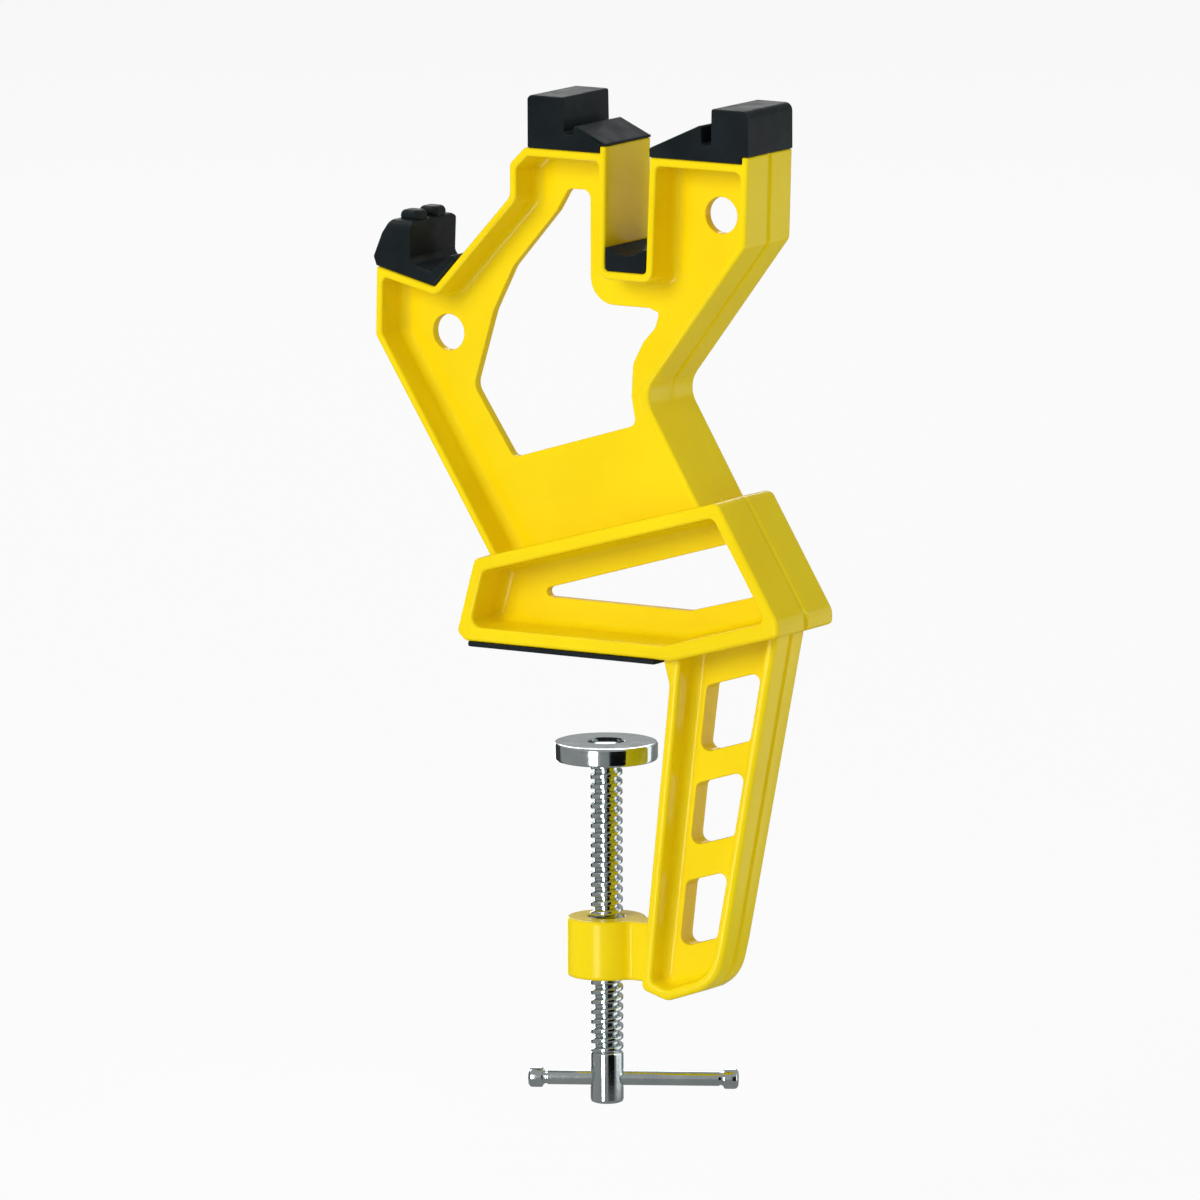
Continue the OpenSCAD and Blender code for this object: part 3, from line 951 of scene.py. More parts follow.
@dataclass
class BaseBlock:
    """The wedge that stands on the bench."""

    shelf: Slope = Slope((-63.7, 26.9), (22.8, 51.0))
    under: Slope = Slope((7.0, 1.5), (44.2, 11.8))
    left: Point = (-70.0, 4.2)
    reach: float = 67.0
    nose: float = 4.4
    width: float = 32.4
    web: float = 3.3
    flange: float = 4.4
    nose_flange: float = 3.95
    floor: float = 4.5

    def tip(self) -> Point:
        """Returns the upper corner of the nose."""
        return self.under.end[0], self.under.end[1] + self.nose

    def corners(self) -> tuple[Point, ...]:
        """Returns the corners of the outline."""
        return (self.left, (-self.reach, self.under.start[1]), self.under.start, self.under.end, self.tip(),
                self.shelf.end, self.shelf.start)

    def pocket(self) -> Outline:
        """Draws the pocket inside the rim: five sides, the two small corners left out.

        Returns:
            The pocket's outline.
        """
        start, end, top = Vector(self.under.start), Vector(self.under.end), Vector(self.shelf.end)
        rise, slant = end - start, top - Vector(self.tip())
        right = start + rise * (cross(top - start, slant) / cross(rise, slant))
        pad = self.under.start[1]
        corners = ((Slope(self.left, self.shelf.start).x(pad), pad), tuple(start), tuple(right),
                   self.shelf.end, self.shelf.start)
        depths = [self.floor, self.floor + 0.6, self.nose_flange, self.flange, self.flange]
        return Outline(Outline(corners, (0.0,) * 5).inset(depths).corners, (3, 4, 2.5, 2.5, 2.5))

    def build(self) -> Piece:
        """Makes the base.

        Returns:
            The closed piece.
        """
        window = Outline(((-55.4, 14.8), (4.1, 14.6), (33.4, 22.4), (22.4, 37.3)), (1.5, 6, 2.5, 2.5))
        outline = Outline(self.corners(), (2.5, 2.5, 6, 1.8, 5, 3, 3))
        crown = (0.1, 0.0, 0.1, 0.2, 0.25, 0.2, 0.25)
        groove = (0, 0, 0.9, 1.2, 0.4, 0, 0)
        roots = (3.0, 3.0, 1.2, 3.0, 3.0)
        return RibbedShape("base", outline, self.pocket(), (window,), lambda p: self.width / 2, self.web / 2,
                           crown, groove, roots, rim_radius=1.3, pocket_radius=1.0).build()


@dataclass
class Leg:
    """The leg in front of the bench edge, narrower outwards and downwards."""

    under: Slope
    inner: Slope = Slope((-8.0, -100.4), (3.5, -6.5))
    outer: Slope = Slope((20.2, -85.0), (39.4, 12.2))
    web: float = 7.0
    flange: float = 3.3
    low_end: tuple[Point, ...] = ((0.0, 0.0), (8.5, -3.2), (19.0, 0.4), (25.4, 4.2))
    pad_over: float = 0.8
    inner_half: float = 13.0
    outer_half: float = 8.3
    low_half: float = 11.0
    window_tops: tuple[float, ...] = (-7.2, -37.2, -67.4)
    window_heights: tuple[float, ...] = (20.8, 19.5, 20.4)
    window_margin: float = 8.0
    window_outer: float = 5.0
    window_rise: float = 0.3
    bury: float = 2.6

    def half(self, point: Vector) -> float:
        """Gives half the leg's width, which changes evenly over the side view.

        Args:
            point: A point of the side view.

        Returns:
            Half the width.
        """
        top, low, out = self.inner.end, self.inner.start, self.outer.end
        out_x, out_z, low_x, low_z = out[0] - top[0], out[1] - top[1], low[0] - top[0], low[1] - top[1]
        out_w, low_w = self.outer_half - self.inner_half, self.low_half - self.inner_half
        turn = out_x * low_z - out_z * low_x
        along_x = (out_w * low_z - low_w * out_z) / turn
        along_z = (low_w * out_x - out_w * low_x) / turn
        return self.inner_half + along_x * (point.x - top[0]) + along_z * (point.y - top[1])

    def corners(self, high: float, *inside: Point) -> tuple[Point, ...]:
        """Returns the corners all round, from the low end's inner one.

        Args:
            high: Height of the outer face's upper end.
            inside: Corners from there to the inner face's upper end.

        Returns:
            The corners, counter-clockwise.
        """
        x, z = self.inner.start
        return (*((x + dx, z + dz) for dx, dz in self.low_end), self.outer.start,
                (self.outer.x(high), high), *inside, self.inner.end)

    def outline(self) -> Outline:
        """Draws the outer outline, with its top buried in the base.

        Returns:
            The outline.
        """
        over, pad = self.pad_over + 1, self.under.start[1]
        high = self.under.z(self.outer.end[0]) + self.bury
        corners = self.corners(high, (over, pad + self.bury), (over, pad))
        return Outline(corners, (2.5, 4, 4, 14, 12, 0.3, 0.3, 0.3, 5))

    def pocket(self) -> Outline:
        """Draws the pocket inside the rim.

        Returns:
            The pocket's outline.
        """
        near = self.inner.end[0] + 0.9
        corners = self.corners(self.under.z(self.outer.end[0]), (near, self.under.z(near)))
        whole = Outline(corners, (0.0,) * 8).inset([self.flange] * 5 + [-2.2] + [self.flange] * 2)
        return Outline(whole.corners, (2.5, 3, 3, 11, 10, 1, 1, 2))

    def window(self, top: float, height: float) -> Outline:
        """Returns one window: upright towards the bench, its upper and lower edge rising outwards.

        Args:
            top: Height of its upper inner corner.
            height: Its height on the inner side.

        Returns:
            The window's outline.
        """
        near, far = [], []
        for z in (top - height, top):
            inner, outer = self.inner.x(z), self.outer.x(z)
            rise = self.window_rise * (outer - inner - (self.window_margin + self.window_outer))
            near.append((inner + self.window_margin, z))
            far.append((outer - self.window_outer, z + rise))
        return Outline((near[0], far[0], far[1], near[1]), (2.6, 2.2, 2.2, 2.2))

    def build(self) -> Piece:
        """Makes the leg.

        Returns:
            The closed piece.
        """
        windows = tuple(self.window(t, h) for t, h in zip(self.window_tops, self.window_heights))
        crown = (0.05, 0.1, 0.15, 0.2, 0.2, 0, 0, 0.1, 0.1)
        groove = (0, 0.9, 0.9, 0.9, 0.95, 0, 0, 0, 0)
        roots = (3.0, 3.0, 2.0, 0.8, 0.75, 1.5, 3.0, 3.0)
        return RibbedShape("leg", self.outline(), self.pocket(), windows, self.half, self.web / 2,
                           crown, groove, roots, rim_radius=1.3, pocket_radius=1.0).build()


@dataclass(frozen=True)
class ScrewLine:
    """Where the screw stands, and the sizes that its pieces share."""

    x: float = -26.6
    radius: float = 5.0
    foot_low: float = -33.5
    foot_top: float = -27.7
    socket: float = 1.6
    collar: float = 0.8
    neck: float = 3.0
    rivet: float = 4.5
    rivet_deep: float = 2.2
    bar: float = 2.25
    bar_z: float = -131.0
    heading: float = 28.0
    gap: float = 0.05

    def at(self, z: float = 0.0) -> Vector:
        """Returns the point of the screw's axis at a height."""
        return Vector((self.x, 0, z))

    def way(self) -> Vector:
        """Returns the direction of the cross bar's long arm."""
        turn = math.radians(self.heading)
        return Vector((math.cos(turn), math.sin(turn), 0))


@dataclass
class Boss:
    """The boss that carries the screw's bush, with the rib that holds it to the leg."""

    line: ScrewLine
    radius: float = 12.1
    low: float = -99.3
    height: float = 18.0
    rib: float = 10.0
    bore: float = 15.0
    mouth: float = 11.0
    lip: float = 0.6
    fillet: float = 2.8
    bury: float = 2.0
    steps: int = 60
    fillet_steps: int = 5

    def plan(self, stop: float) -> Outline:
        """Draws the keyhole outline seen from above.

        Args:
            stop: X where the rib ends.

        Returns:
            The outline.
        """
        x, half, fillet = self.line.x, self.rib / 2, self.fillet
        reach = self.radius + fillet
        lift = half + fillet
        run = math.sqrt(reach * reach - lift * lift)
        touch = math.atan2(lift, run)
        around = [touch + (2 * math.pi - 2 * touch) * k / self.steps for k in range(self.steps + 1)]
        circle = [(x + self.radius * math.cos(a), self.radius * math.sin(a)) for a in around]
        shares = [1 - k / self.fillet_steps for k in range(1, self.fillet_steps + 1)]
        turn = [math.pi / 2 - (math.pi / 2 - touch) * share for share in shares]
        low_side = [(x + run + fillet * -math.cos(t), -lift + fillet * math.sin(t)) for t in turn]
        high_side = [(x, -y) for x, y in reversed(low_side)]
        corners = circle + low_side + [(stop, -half), (stop, half)] + high_side
        return Outline(tuple(corners), (0.0,) * len(corners))

    def build(self, leg: Leg) -> Piece:
        """Makes the boss with its rib, ready to be united with the leg."""
        stop = leg.inner.x(self.low) + self.bury
        return Workshop.prism("boss", self.plan(stop), self.low, self.low + self.height, Plane.PLAN, edge=1.1)

    def drill(self, piece: Piece) -> None:
        """Cuts the bore for the bush, which a thin lip with a wide mouth holds at both ends.

        Args:
            piece: The moulding with the boss.
        """
        seat, mouth, top = self.bore / 2, self.mouth / 2, self.height
        half = ((0, -2), (mouth + 2.4, -2), (mouth, 0.4), (mouth, self.lip), (seat, self.lip))
        profile = (*half, *((r, top - h) for r, h in reversed(half)))
        bore = Workshop.lathe("bore", profile, self.line.at(self.low), steps=72)
        Workshop.boolean(piece, bore, "DIFFERENCE")


@dataclass
class FrameMoulding:
    """The whole frame: column, base, leg and boss in one moulding."""

    column: Column
    base: BaseBlock
    leg: Leg
    boss: Boss
    weld: float = 1.1
    near: float = 0.02

    def on_shelf(self, point: Vector) -> bool:
        """Says whether a point lies on the plane of the base's shelf, no farther out than the column."""
        over = point.z / MM - self.column.shelf.z(point.x / MM)
        return abs(over) < self.near and abs(point.y) / MM < self.column.width / 2 + 0.05

    def seam(self, edge: bmesh.types.BMEdge) -> bool:
        """Says whether an edge is a hollow one where the column meets the shelf."""
        hollow = edge.calc_face_angle_signed(0.0) < -math.radians(30)
        return hollow and all(self.on_shelf(v.co) for v in edge.verts)

    def build(self) -> Piece:
        """Unites the stretches, drills the boss and rounds the column's seam.

        Returns:
            The closed piece.
        """
        piece = self.base.build()
        for make in (self.column.build, self.leg.build, lambda: self.boss.build(self.leg)):
            Workshop.boolean(piece, make(), "UNION")
        self.boss.drill(piece)
        Workshop.close(piece, 0.01)
        Workshop.bevel(piece, self.seam, self.weld)
        piece.name = "frame_moulding"
        return Workshop.polish(piece)


@dataclass
class Pads:
    """The rubber pads on the frame."""

    column: Column
    height: float = 16.0
    ramp_start: float = 2.8
    ramp_slope: float = 0.45
    ramp_outer: float = 18.2
    ramp_inner: float = 11.4
    groove_width: float = 3.4
    groove_floor: float = 5.0
    slot_side: float = 7.2
    slot_dip: float = 2.2
    slot_dish: float = 3.4
    dish_share: float = 0.7
    half: float = 13.0
    base_half: float = 16.2
    base_reach: float = 66.0
    base_over: float = 0.8
    base_thick: float = 1.5

    def across(self, name: str, corners: Sequence[Point], radii: tuple[float, ...], steps: int = 5) -> Piece:
        """Makes a pad as wide as the jaws from its side outline."""
        return Workshop.prism(name, Outline(tuple(corners), radii, steps), -self.half, self.half, Plane.SIDE)

    def top(self, edge: float, way: int, ramp: float) -> list[Point]:
        """Lists the corners of ramp, groove and land, from the slot outwards.

        Args:
            edge: X of the slot's edge.
            way: 1 for the outer block and -1 for the inner one.
            ramp: Length of the ramp.

        Returns:
            The corners.
        """
        seat = self.column.seat
        return [
            (edge, seat + self.ramp_start),
            (edge + way * ramp, seat + self.ramp_start + ramp * self.ramp_slope),
            (edge + way * (ramp + 0.3), seat + self.groove_floor),
            (edge + way * (ramp + self.groove_width), seat + self.groove_floor),
            (edge + way * (ramp + self.groove_width + 0.2), seat + self.height),
        ]

    def inner(self) -> Piece:
        """Makes the pad on the inner jaw block.

        Returns:
            The pad.
        """
        edge = self.column.slot_edges()[0]
        seat, lip = self.column.seat, self.column.lip_height
        start = self.column.block_side[0] + self.column.block_chamfer + 1.2
        stop = edge - self.column.lip_thick
        corners = [(start, seat), (stop, seat), (stop, seat + lip), (edge, seat + lip)]
        corners += self.top(edge, -1, self.ramp_inner)
        corners += [(start + 1, seat + self.height), (start, seat + self.height - 1)]
        radii = (0.4, 0.2, 0.2, 0.3, 0.8, 0.7, 0.9, 0.9, 0.8, 1.6, 1.0)
        return self.across("inner_jaw_pad", corners, radii)

    def outer(self) -> Piece:
        """Makes the pad on the outer jaw block.

        Returns:
            The pad.
        """
        edge = self.column.slot_edges()[1]
        seat, lip, reach = self.column.seat, self.column.lip_height, self.column.block_reach
        stop = reach - self.column.lip_thick
        corners = [(edge, seat)] + self.top(edge, 1, self.ramp_outer)
        corners += [(reach, seat + self.height), (reach, seat + lip), (stop, seat + lip), (stop, seat)]
        corners.reverse()
        radii = (0.3, 0.2, 0.3, 2.4, 0.8, 0.9, 0.9, 0.7, 0.8, 0.4)
        return self.across("outer_jaw_pad", corners, radii)

    def slot(self) -> Piece:
        """Makes the dished pad on the floor of the slot.

        Returns:
            The pad.
        """
        low, floor = self.column.slot_inner, self.column.slot_floor
        high = low + self.column.slot_width
        rise = self.slot_side / (self.column.seat - floor)
        top = floor + self.slot_side
        middle, dished = (low + high) / 2, top - self.dish_share * self.slot_dip
        corners = (
            (low + 0.9, floor), (high - 0.9, floor), (high, floor + 0.9),
            (high + self.column.slot_flare[1] * rise, top), (high - 1, top),
            (middle + self.slot_dish, dished), (middle, top - self.slot_dip),
            (middle - self.slot_dish, dished), (low + 1, top),
            (low + self.column.slot_flare[0] * rise, top), (low, floor + 0.9),
        )
        radii = (0.4, 0.4, 0.4, 0.4, 0.5, 3, 3, 3, 0.5, 0.4, 0.4)
        return self.across("slot_cushion", corners, radii, 4)

    def bench(self) -> Piece:
        """Makes the strip under the base.

        Returns:
            The strip.
        """
        low, high, half = -self.base_reach, self.base_over, self.base_half
        outline = Outline(((low, -half), (high, -half), (high, half), (low, half)), (1.5, 1, 1, 1.5))
        return Workshop.prism("bench_pad", outline, 0, self.base_thick, Plane.PLAN, edge=0.4)


@dataclass
class ArmPad:
    """The pad on the arm: a seat in the V and a post with two ribs on the arm's tip."""

    column: Column
    lip: float = 11.4
    lip_thick: float = 2.4
    toe: float = 4.0
    post_height: float = 17.0
    post_thick: float = 7.2
    post_round: float = 3.4
    rib: float = 7.0
    rib_apart: float = 0.74
    rib_height: float = 2.8
    half: float = 13.0
    foot_share: float = 0.58

    def marks(self) -> tuple[Vector, Vector, Vector]:
        """Returns the notch, the arm's tip and the foot of the post between them."""
        notch, tip = Vector(self.column.notch), Vector(self.column.arm_tip)
        return notch, tip, tip + self.foot_share * (notch - tip)

    def outline(self) -> Outline:
        """Draws the side outline.

        Returns:
            The outline.
        """
        notch, tip, foot = self.marks()
        along = (Vector(self.column.block_side) - notch).normalized()
        out = Vector((-along.y, along.x))
        end = notch + along * self.lip
        corners = (
            tip, notch, end, end + out * self.lip_thick, notch + out * self.toe + along * 2.4,
            foot + Vector((0.3, self.toe + 0.6)), foot + Vector((0.8, self.post_height)),
            foot + Vector((0.2 - self.post_thick, self.post_height + 0.2)),
            foot + Vector((-2.8 - self.post_thick, self.post_height - 4)), tip + Vector((-1, 2.8)),
        )
        radii = (0.4, 0.5, 0.6, 0.8, 2.0, 2.4, 1.6, 1.2, 1.5, 1.0)
        return Outline(tuple((p.x, p.y) for p in corners), radii, 5)

    def build(self) -> Piece:
        """Makes the pad, domes its post and sets the two ribs on it.

        Returns:
            The pad.
        """
        piece = Workshop.prism("arm_rest_pad", self.outline(), -self.half, self.half, Plane.SIDE, edge=1.0)
        notch, tip, foot = self.marks()
        reach, floor, top = self.half + 0.02, notch.y - 3, foot.y + self.post_height + 0.2
        corners = ((-reach, floor), (reach, floor), (reach, top), (-reach, top))
        dome = Outline(corners, (0.0, 0.0, self.post_round, self.post_round), 8)
        whole = Workshop.prism("dome", dome, tip.x - 8, notch.x + 30, Plane.FRONT)
        Workshop.boolean(piece, whole, "INTERSECT")
        left = foot.x - self.post_thick + 0.6
        right = left + self.post_thick - 0.2
        low = foot.y + self.post_height - 1
        for side in (-1, 1):
            middle = side * self.rib_apart * self.rib
            near, far = middle - self.rib / 2, middle + self.rib / 2
            outline = Outline(((left, near), (right, near), (right, far), (left, far)), (2.3,) * 4)
            rib = Workshop.prism("rib", outline, low, low + self.rib_height + 1, Plane.PLAN, edge=1.7)
            Workshop.boolean(piece, rib, "UNION")
        return piece


@dataclass
class ClampScrew:
    """The threaded spindle, its riveted neck and the plain end with the cross hole."""

    line: ScrewLine
    pitch: float = 3.0
    depth: float = 1.3
    thread_low: float = -122.6
    low: float = -138.4
    steps: int = 40

    def thread(self) -> Piece:
        """Makes the helical thread: one tooth's profile driven round and up by a screw.

        Returns:
            The thread, cut flat at both ends.
        """
        root, crest, pitch = self.line.radius - self.depth, self.line.radius, self.pitch
        start = self.thread_low - pitch
        tooth = [(root, 0.0), (root + 0.25, 0.05), (crest - 0.12, 0.2), (crest, 0.27), (crest, 0.53),
                 (crest - 0.12, 0.6), (root + 0.25, 0.75), (root, 0.8), (root, 1.0)]
        points = [Vector((r, 0, start + share * pitch)) * MM for r, share in tooth]
        piece = Workshop.line("thread", points)
        turns = math.ceil((self.line.foot_low - 1.2 - start) / pitch) + 1
        Workshop.apply(piece, "SCREW", axis="Z", angle=2 * math.pi, screw_offset=pitch * MM, iterations=turns,
                       steps=self.steps, render_steps=self.steps, use_merge_vertices=True,
                       merge_threshold=0.00001)
        with Workshop.edit(piece):
            bpy.ops.transform.translate(value=(self.line.x * MM, 0, 0))
            for height, outer in ((self.thread_low, False), (self.line.foot_low - 1.37, True)):
                bpy.ops.mesh.select_all(action="SELECT")
                bpy.ops.mesh.bisect(plane_co=(0, 0, height * MM), plane_no=UP, use_fill=True,
                                    clear_inner=not outer, clear_outer=outer)
        return Workshop.close(piece)

    def build(self) -> Piece:
        """Unites thread, shank and neck, and drills the cross hole.

        Returns:
            The screw.
        """
        line, low, thread = self.line, self.low, self.thread_low
        radius, root, collar = line.radius, line.radius - self.depth, line.radius - line.collar
        foot, top, shoulder = line.foot_low, line.foot_top, line.foot_low + line.socket
        shank = (
            (0, low), (radius - 1.0, low), (radius - 0.3, low + 0.3), (radius, low + 1.0),
            (radius, thread - 0.9), (radius - 0.3, thread - 0.35), (root - 0.4, thread + 0.7),
            (root - 0.4, thread + 1.2), (0, thread + 1.2),
        )
        head = (
            (0, foot - 2.9), (root - 0.4, foot - 2.9), (root - 0.4, foot - 2.5), (collar, foot - 1.7),
            (collar, shoulder), (line.neck, shoulder), (line.neck, top - line.rivet_deep),
            (line.rivet, top - line.rivet_deep), (line.rivet, top - 1.3), (line.rivet - 0.6, top - 0.75),
            (line.rivet - 1.8, top - 0.4), (0, top - 0.4),
        )
        piece = self.thread()
        for name, profile in (("shank", shank), ("neck", head)):
            Workshop.boolean(piece, Workshop.lathe(name, profile, line.at()), "UNION")
        reach, hole = radius + 0.5, line.bar + line.gap
        half = ((0, reach), (hole + 1.1, reach), (hole + 0.25, radius - 0.35), (hole, radius - 0.9))
        profile = (*((r, -h) for r, h in half), *reversed(half))
        drill = Workshop.lathe("drill", profile, line.at(line.bar_z), line.way(), 40)
        Workshop.boolean(piece, drill, "DIFFERENCE")
        piece.name = "clamp_screw"
        return Workshop.polish(Workshop.close(piece), 40)


@dataclass
class ClampDisc:
    """The disc that presses against the underside of the bench."""

    line: ScrewLine
    radius: float = 15.7

    def build(self) -> Piece:
        """Makes the disc.

        Returns:
            The disc.
        """
        line, radius, low, top = self.line, self.radius, self.line.foot_low, self.line.foot_top
        core = line.radius - line.collar + line.gap
        recess, neck = line.rivet + 1, line.neck + line.gap
        deep, shoulder = top - line.rivet_deep - line.gap, low + line.socket + line.gap
        profile = (
            (core, low + 0.4), (core + 0.4, low), (radius - 1.1, low), (radius - 0.35, low + 0.25),
            (radius, low + 0.9), (radius, top - 0.9), (radius - 0.35, top - 0.25), (radius - 1.1, top),
            (recess + 0.4, top), (recess, top - 0.4), (recess, deep), (neck, deep), (neck, shoulder),
            (core, shoulder), (core, low + 0.4),
        )
        return Workshop.polish(Workshop.lathe("clamp_disc", profile, line.at(), steps=96), 30)


@dataclass
class CrossBar:
    """The sliding bar with a pressed cap on each end."""

    line: ScrewLine
    short: float = 23.8
    long: float = 39.8
    cap: float = 3.1
    cap_length: float = 4.5
    cap_wall: float = 1.0
    waist_deep: float = 0.28

    def rod(self) -> Piece:
        """Makes the bar, with a shallow neck before each cap.

        Returns:
            The bar.
        """
        full, waist = self.line.bar, self.line.bar - self.waist_deep
        low, high = -self.short + self.cap_wall, self.long - self.cap_wall
        neck_low, neck_high = -self.short + self.cap_length + 0.9, self.long - self.cap_length - 0.9
        profile = (
            (0, low), (full, low), (full, neck_low - 0.7), (waist, neck_low - 0.35), (waist, neck_low + 0.2),
            (full, neck_low + 0.6), (full, neck_high - 0.6), (waist, neck_high - 0.2),
            (waist, neck_high + 0.35), (full, neck_high + 0.7), (full, high), (0, high),
        )
        foot = self.line.at(self.line.bar_z)
        return Workshop.polish(Workshop.lathe("cross_bar", profile, foot, self.line.way(), 48))

    def end(self, name: str, sign: int, reach: float) -> Piece:
        """Makes one cap.

        Args:
            name: Name of the piece.
            sign: 1 on the long arm and -1 on the short one.
            reach: Length of that arm.

        Returns:
            The cap.
        """
        rim, bar, back, way = self.cap, self.line.bar, -self.cap_length, self.line.way()
        profile = (
            (bar, back), (rim - 0.55, back), (rim - 0.15, back + 0.2), (rim, back + 0.6), (rim, -1.1),
            (rim - 0.25, -0.5), (rim - 0.9, -0.08), (rim - 1.6, 0), (0, 0), (0, -self.cap_wall),
            (bar, -self.cap_wall), (bar, back),
        )
        foot = self.line.at(self.line.bar_z) + way * reach * sign
        return Workshop.polish(Workshop.lathe(name, profile, foot, way * sign, 48), 30)


@dataclass
class ScrewBush:
    """The threaded bush in the boss."""

    line: ScrewLine
    low: float = -98.7
    height: float = 16.8
    radius: float = 7.5

    def build(self) -> Piece:
        """Makes the bush.

        Returns:
            The bush.
        """
        high, rim, bore = self.height, self.radius, self.line.radius + self.line.gap
        profile = (
            (bore, 0.7), (bore + 0.7, 0), (rim - 0.4, 0), (rim, 0.4), (rim, high - 0.4), (rim - 0.4, high),
            (bore + 0.7, high), (bore, high - 0.7), (bore, 0.7),
        )
        return Workshop.polish(Workshop.lathe("screw_bush", profile, self.line.at(self.low), steps=72), 30)


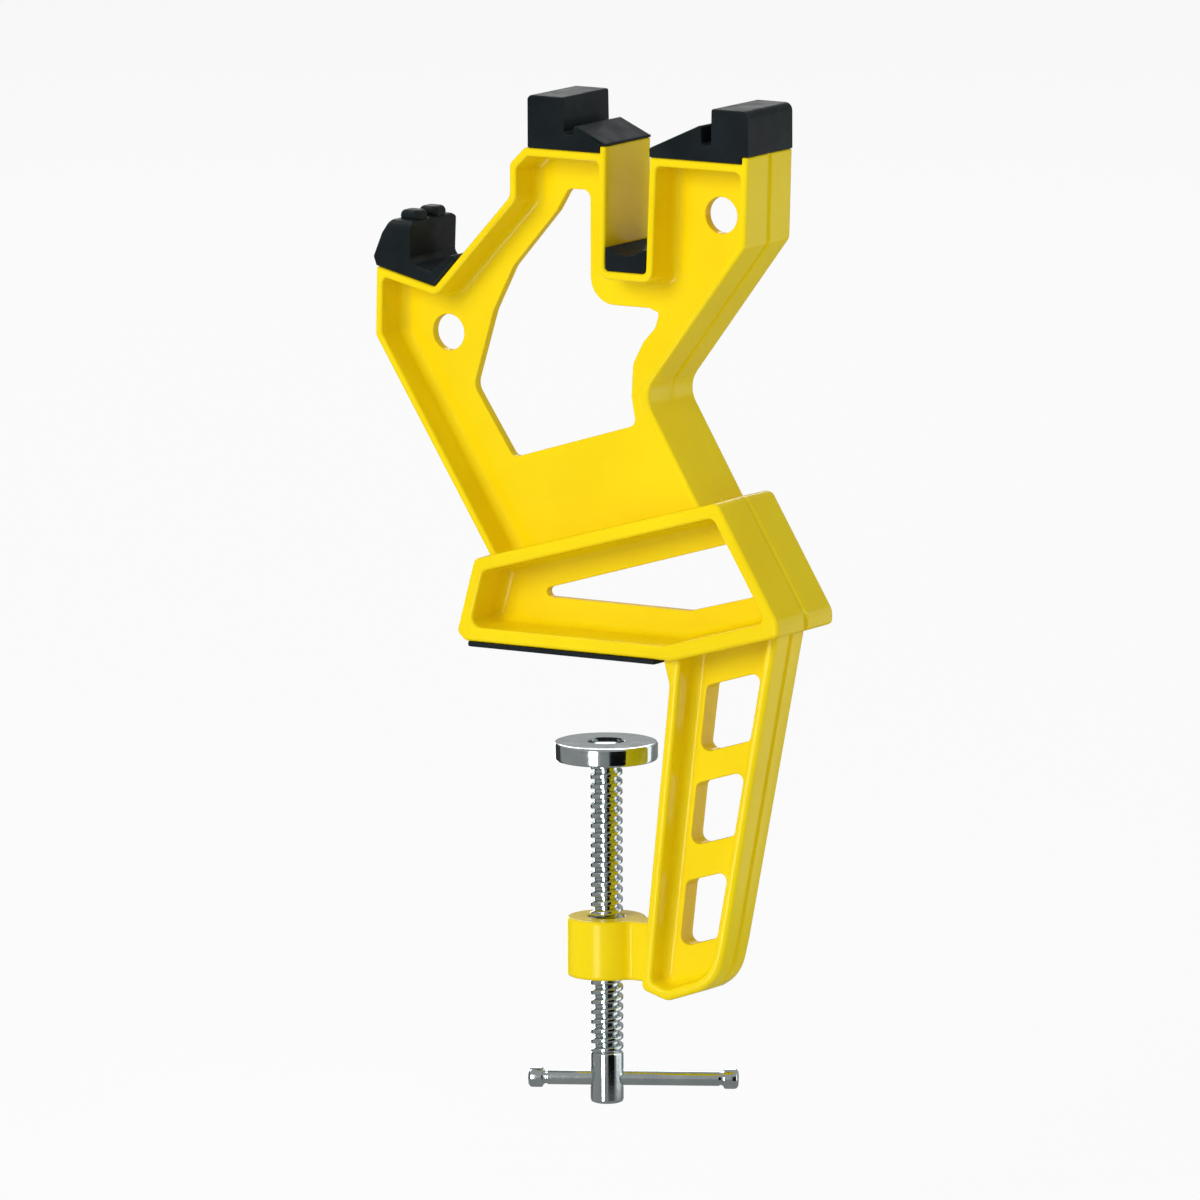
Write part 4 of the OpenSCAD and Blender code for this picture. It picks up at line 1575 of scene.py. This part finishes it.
@dataclass
class Studio:
    """Camera, lamps, floor, world, and glowing cards that paint reflections and highlights into the gloss."""

    camera_from: tuple[float, float, float] = (2454.7, -3932.7, 771.0)
    aim: tuple[float, float, float] = (-28.5, 0.0, 15.0)
    right_hand: tuple[float, float, float] = (0.8725, 0.4886, 0.0048)
    lens: float = 470.0
    floor_z: float = -187.0
    sky: float = 0.3
    sky_mirrored: float = 0.38
    floor_mirrored: float = 0.2
    floor_white: float = 0.9

    def camera(self) -> None:
        """Sets the camera at the photograph's viewing angle."""
        eye = Vector(self.camera_from)
        back = (eye - Vector(self.aim)).normalized()
        right = Vector(self.right_hand)
        right = (right - back * right.dot(back)).normalized()
        turned = Matrix((right, back.cross(right), back)).transposed()
        data = bpy.data.cameras.new("camera")
        data.lens = self.lens
        data.sensor_width = 36
        data.clip_start = 0.1
        data.clip_end = 100
        camera = bpy.data.objects.new("camera", data)
        camera.location = eye * MM
        camera.rotation_euler = turned.to_euler()
        bpy.context.scene.collection.objects.link(camera)
        bpy.context.scene.camera = camera

    def lamp(self, name: str, azimuth: float, elevation: float, far: float, size: float, power: float,
             colour: Colour = (1, 1, 1), mirrored: bool = True) -> None:
        """Adds a soft square lamp that shines on the object.

        Args:
            name: Name of the lamp.
            azimuth: 0 is from -Y and 90 from +X, in degrees.
            elevation: Over the horizon, in degrees.
            far: Distance in metres.
            size: Side of the square in metres.
            power: Watts.
            colour: Colour of the light.
            mirrored: Whether the gloss shows it.
        """
        way = direction(azimuth, elevation)
        data = bpy.data.lights.new(name, "AREA")
        data.shape = "SQUARE"
        data.size = size
        data.energy = power
        data.color = colour
        lamp = bpy.data.objects.new(name, data)
        lamp.location = Vector(self.aim) * MM + way * far
        lamp.rotation_euler = way.to_track_quat("Z", "Y").to_euler()
        lamp.visible_glossy = mirrored
        bpy.context.scene.collection.objects.link(lamp)

    def reflection_card(self, name: str, start: float, end: float, far: float, tone: float, height: float) -> None:
        """Stands a glowing card on the floor that only shows in the steel and the gloss. A dark or grey one
        is a painted reflection, and one whose tone is above 1 is a painted highlight.

        Args:
            name: Name of the card.
            start: Azimuth of one upright edge; 0 is from -Y and 90 from +X, in degrees.
            end: Azimuth of the other one.
            far: Distance from the screw in metres.
            tone: Its grey as emission strength; above 1 it paints a highlight.
            height: Its height in metres.
        """
        way = direction((start + end) / 2)
        Workshop.rest()
        bpy.ops.mesh.primitive_plane_add(size=1)
        reflection_card = bpy.context.object
        reflection_card.name = name
        side = Vector((way.y, -way.x, 0)) * far * math.tan(math.radians(abs(end - start) / 2))
        foot = Vector((self.aim[0] * MM, 0, self.floor_z * MM)) + way * far
        corners = (foot - side, foot + side, foot - side + UP * height, foot + side + UP * height)
        for vertex, point in zip(reflection_card.data.vertices, corners):
            vertex.co = point
        nodes = Nodes.material(f"{name}_tone")
        nodes.surface(nodes.node("Emission", Color=(tone, tone, tone, 1)))
        reflection_card.data.materials.append(nodes.owner)
        for ray in ("camera", "diffuse", "transmission", "volume_scatter", "shadow"):
            setattr(reflection_card, f"visible_{ray}", False)

    def world(self) -> None:
        """Makes a white surround that lights the object softly."""
        world = bpy.data.worlds.new("studio")
        nodes = Nodes(world, "Background")
        nodes.wire(Color=(1, 1, 1, 1), Strength=nodes.shown(self.sky, self.sky_mirrored))
        bpy.context.scene.world = world

    def floor(self) -> None:
        """Lays a plain pale floor under the lowest reach of the screw; it keeps a soft shadow."""
        Workshop.rest()
        bpy.ops.mesh.primitive_plane_add(size=60, location=(0, 0, self.floor_z * MM))
        floor = bpy.context.object
        floor.name = "floor"
        nodes = Nodes.material("pale_floor")
        nodes.wire(Base_Color=(0.86, 0.865, 0.87, 1), Roughness=0.9, Specular_IOR_Level=0.1)
        white = nodes.node("Emission", Strength=nodes.shown(0, self.floor_mirrored))
        share = nodes.node("MapRange", Value=nodes.shown(0, 1), To_Max=self.floor_white)
        mix = nodes.node("MixShader")
        for socket, source in zip(mix.inputs, (share, nodes.shader, white)):
            nodes.feed(socket, source.outputs[0])
        nodes.surface(mix)
        floor.data.materials.append(nodes.owner)

    def build(self) -> None:
        """Sets up the studio."""
        self.camera()
        self.world()
        self.floor()
        self.lamp("key", -8, 24, 2.2, 1.2, 32, (1.0, 0.99, 0.97), mirrored=False)
        self.lamp("fill", 100, 22, 2.6, 1.1, 14, (0.95, 1.0, 0.97))
        self.lamp("top", -75, 62, 2.2, 0.8, 6)
        self.lamp("back", 215, 30, 2.8, 1.2, 11)
        # Painted reflections: dark and grey cards darken the steel and the gloss, and bright ones paint
        # highlights; only glossy rays see them.
        self.reflection_card("painted_dark_reflection_right", 40, 86, 0.2, 0.005, 0.18)
        self.reflection_card("painted_grey_reflection_left", -84, -22, 0.21, 0.3, 0.18)
        self.reflection_card("painted_dark_reflection_back", 244, 274, 0.25, 0.05, 0.2)
        self.reflection_card("painted_highlight_front", -3, 13, 0.24, 8.0, 0.17)
        self.reflection_card("painted_highlight_right", 100, 150, 0.3, 1.3, 0.3)
        self.reflection_card("painted_highlight_left", 224, 243, 0.3, 3.0, 0.2)
        bpy.context.scene.view_settings.view_transform = "Standard"


def main() -> None:
    """Builds the studio and every piece in order."""
    logging.basicConfig(level=logging.INFO, format="%(name)s: %(message)s")
    Studio().build()
    plastic = YellowPlastic().make()
    rubber = CharcoalRubber().make()
    line, base = ScrewLine(), BaseBlock()
    column, bar = Column(base.shelf), CrossBar(line)
    turned = BrightSteel("turned_steel", Turning.RINGS_UP, line.at()).make()
    faced = BrightSteel("faced_steel", Turning.FACE, line.at()).make()
    drawn = BrightSteel("drawn_steel", Turning.BAR, line.at(line.bar_z), math.radians(line.heading)).make()
    moulding = FrameMoulding(column, base, Leg(base.under), Boss(line)).build()
    finish_piece(moulding, plastic, Body.FRAME, Slot.PLASTIC, "body")
    pads = Pads(column)
    rubbers = (
        (pads.inner(), "inner_block_pad"), (pads.outer(), "outer_block_pad"), (pads.slot(), "slot_pad"),
        (pads.bench(), "base_pad"), (ArmPad(column).build(), "arm_pad"),
    )
    for piece, node in rubbers:
        finish_piece(Workshop.polish(piece), rubber, Body.FRAME, Slot.RUBBER, node)
    finish_piece(ScrewBush(line).build(), turned, Body.FRAME, Slot.BUSH, "threaded_bush")
    finish_piece(ClampScrew(line).build(), turned, Body.SCREW, Slot.STEEL, "spindle")
    finish_piece(ClampDisc(line).build(), faced, Body.FOOT, Slot.STEEL, "pressure_foot")
    finish_piece(bar.rod(), drawn, Body.HANDLE, Slot.STEEL, "tommy_bar")
    long_cap = bar.end("cross_bar_end_long", 1, bar.long)
    finish_piece(long_cap, drawn, Body.HANDLE, Slot.STEEL, "bar_cap_long")
    short_cap = bar.end("cross_bar_end_short", -1, bar.short)
    finish_piece(short_cap, drawn, Body.HANDLE, Slot.STEEL, "bar_cap_short")
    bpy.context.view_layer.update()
    Workshop.rest()


if __name__ == "__main__":
    main()
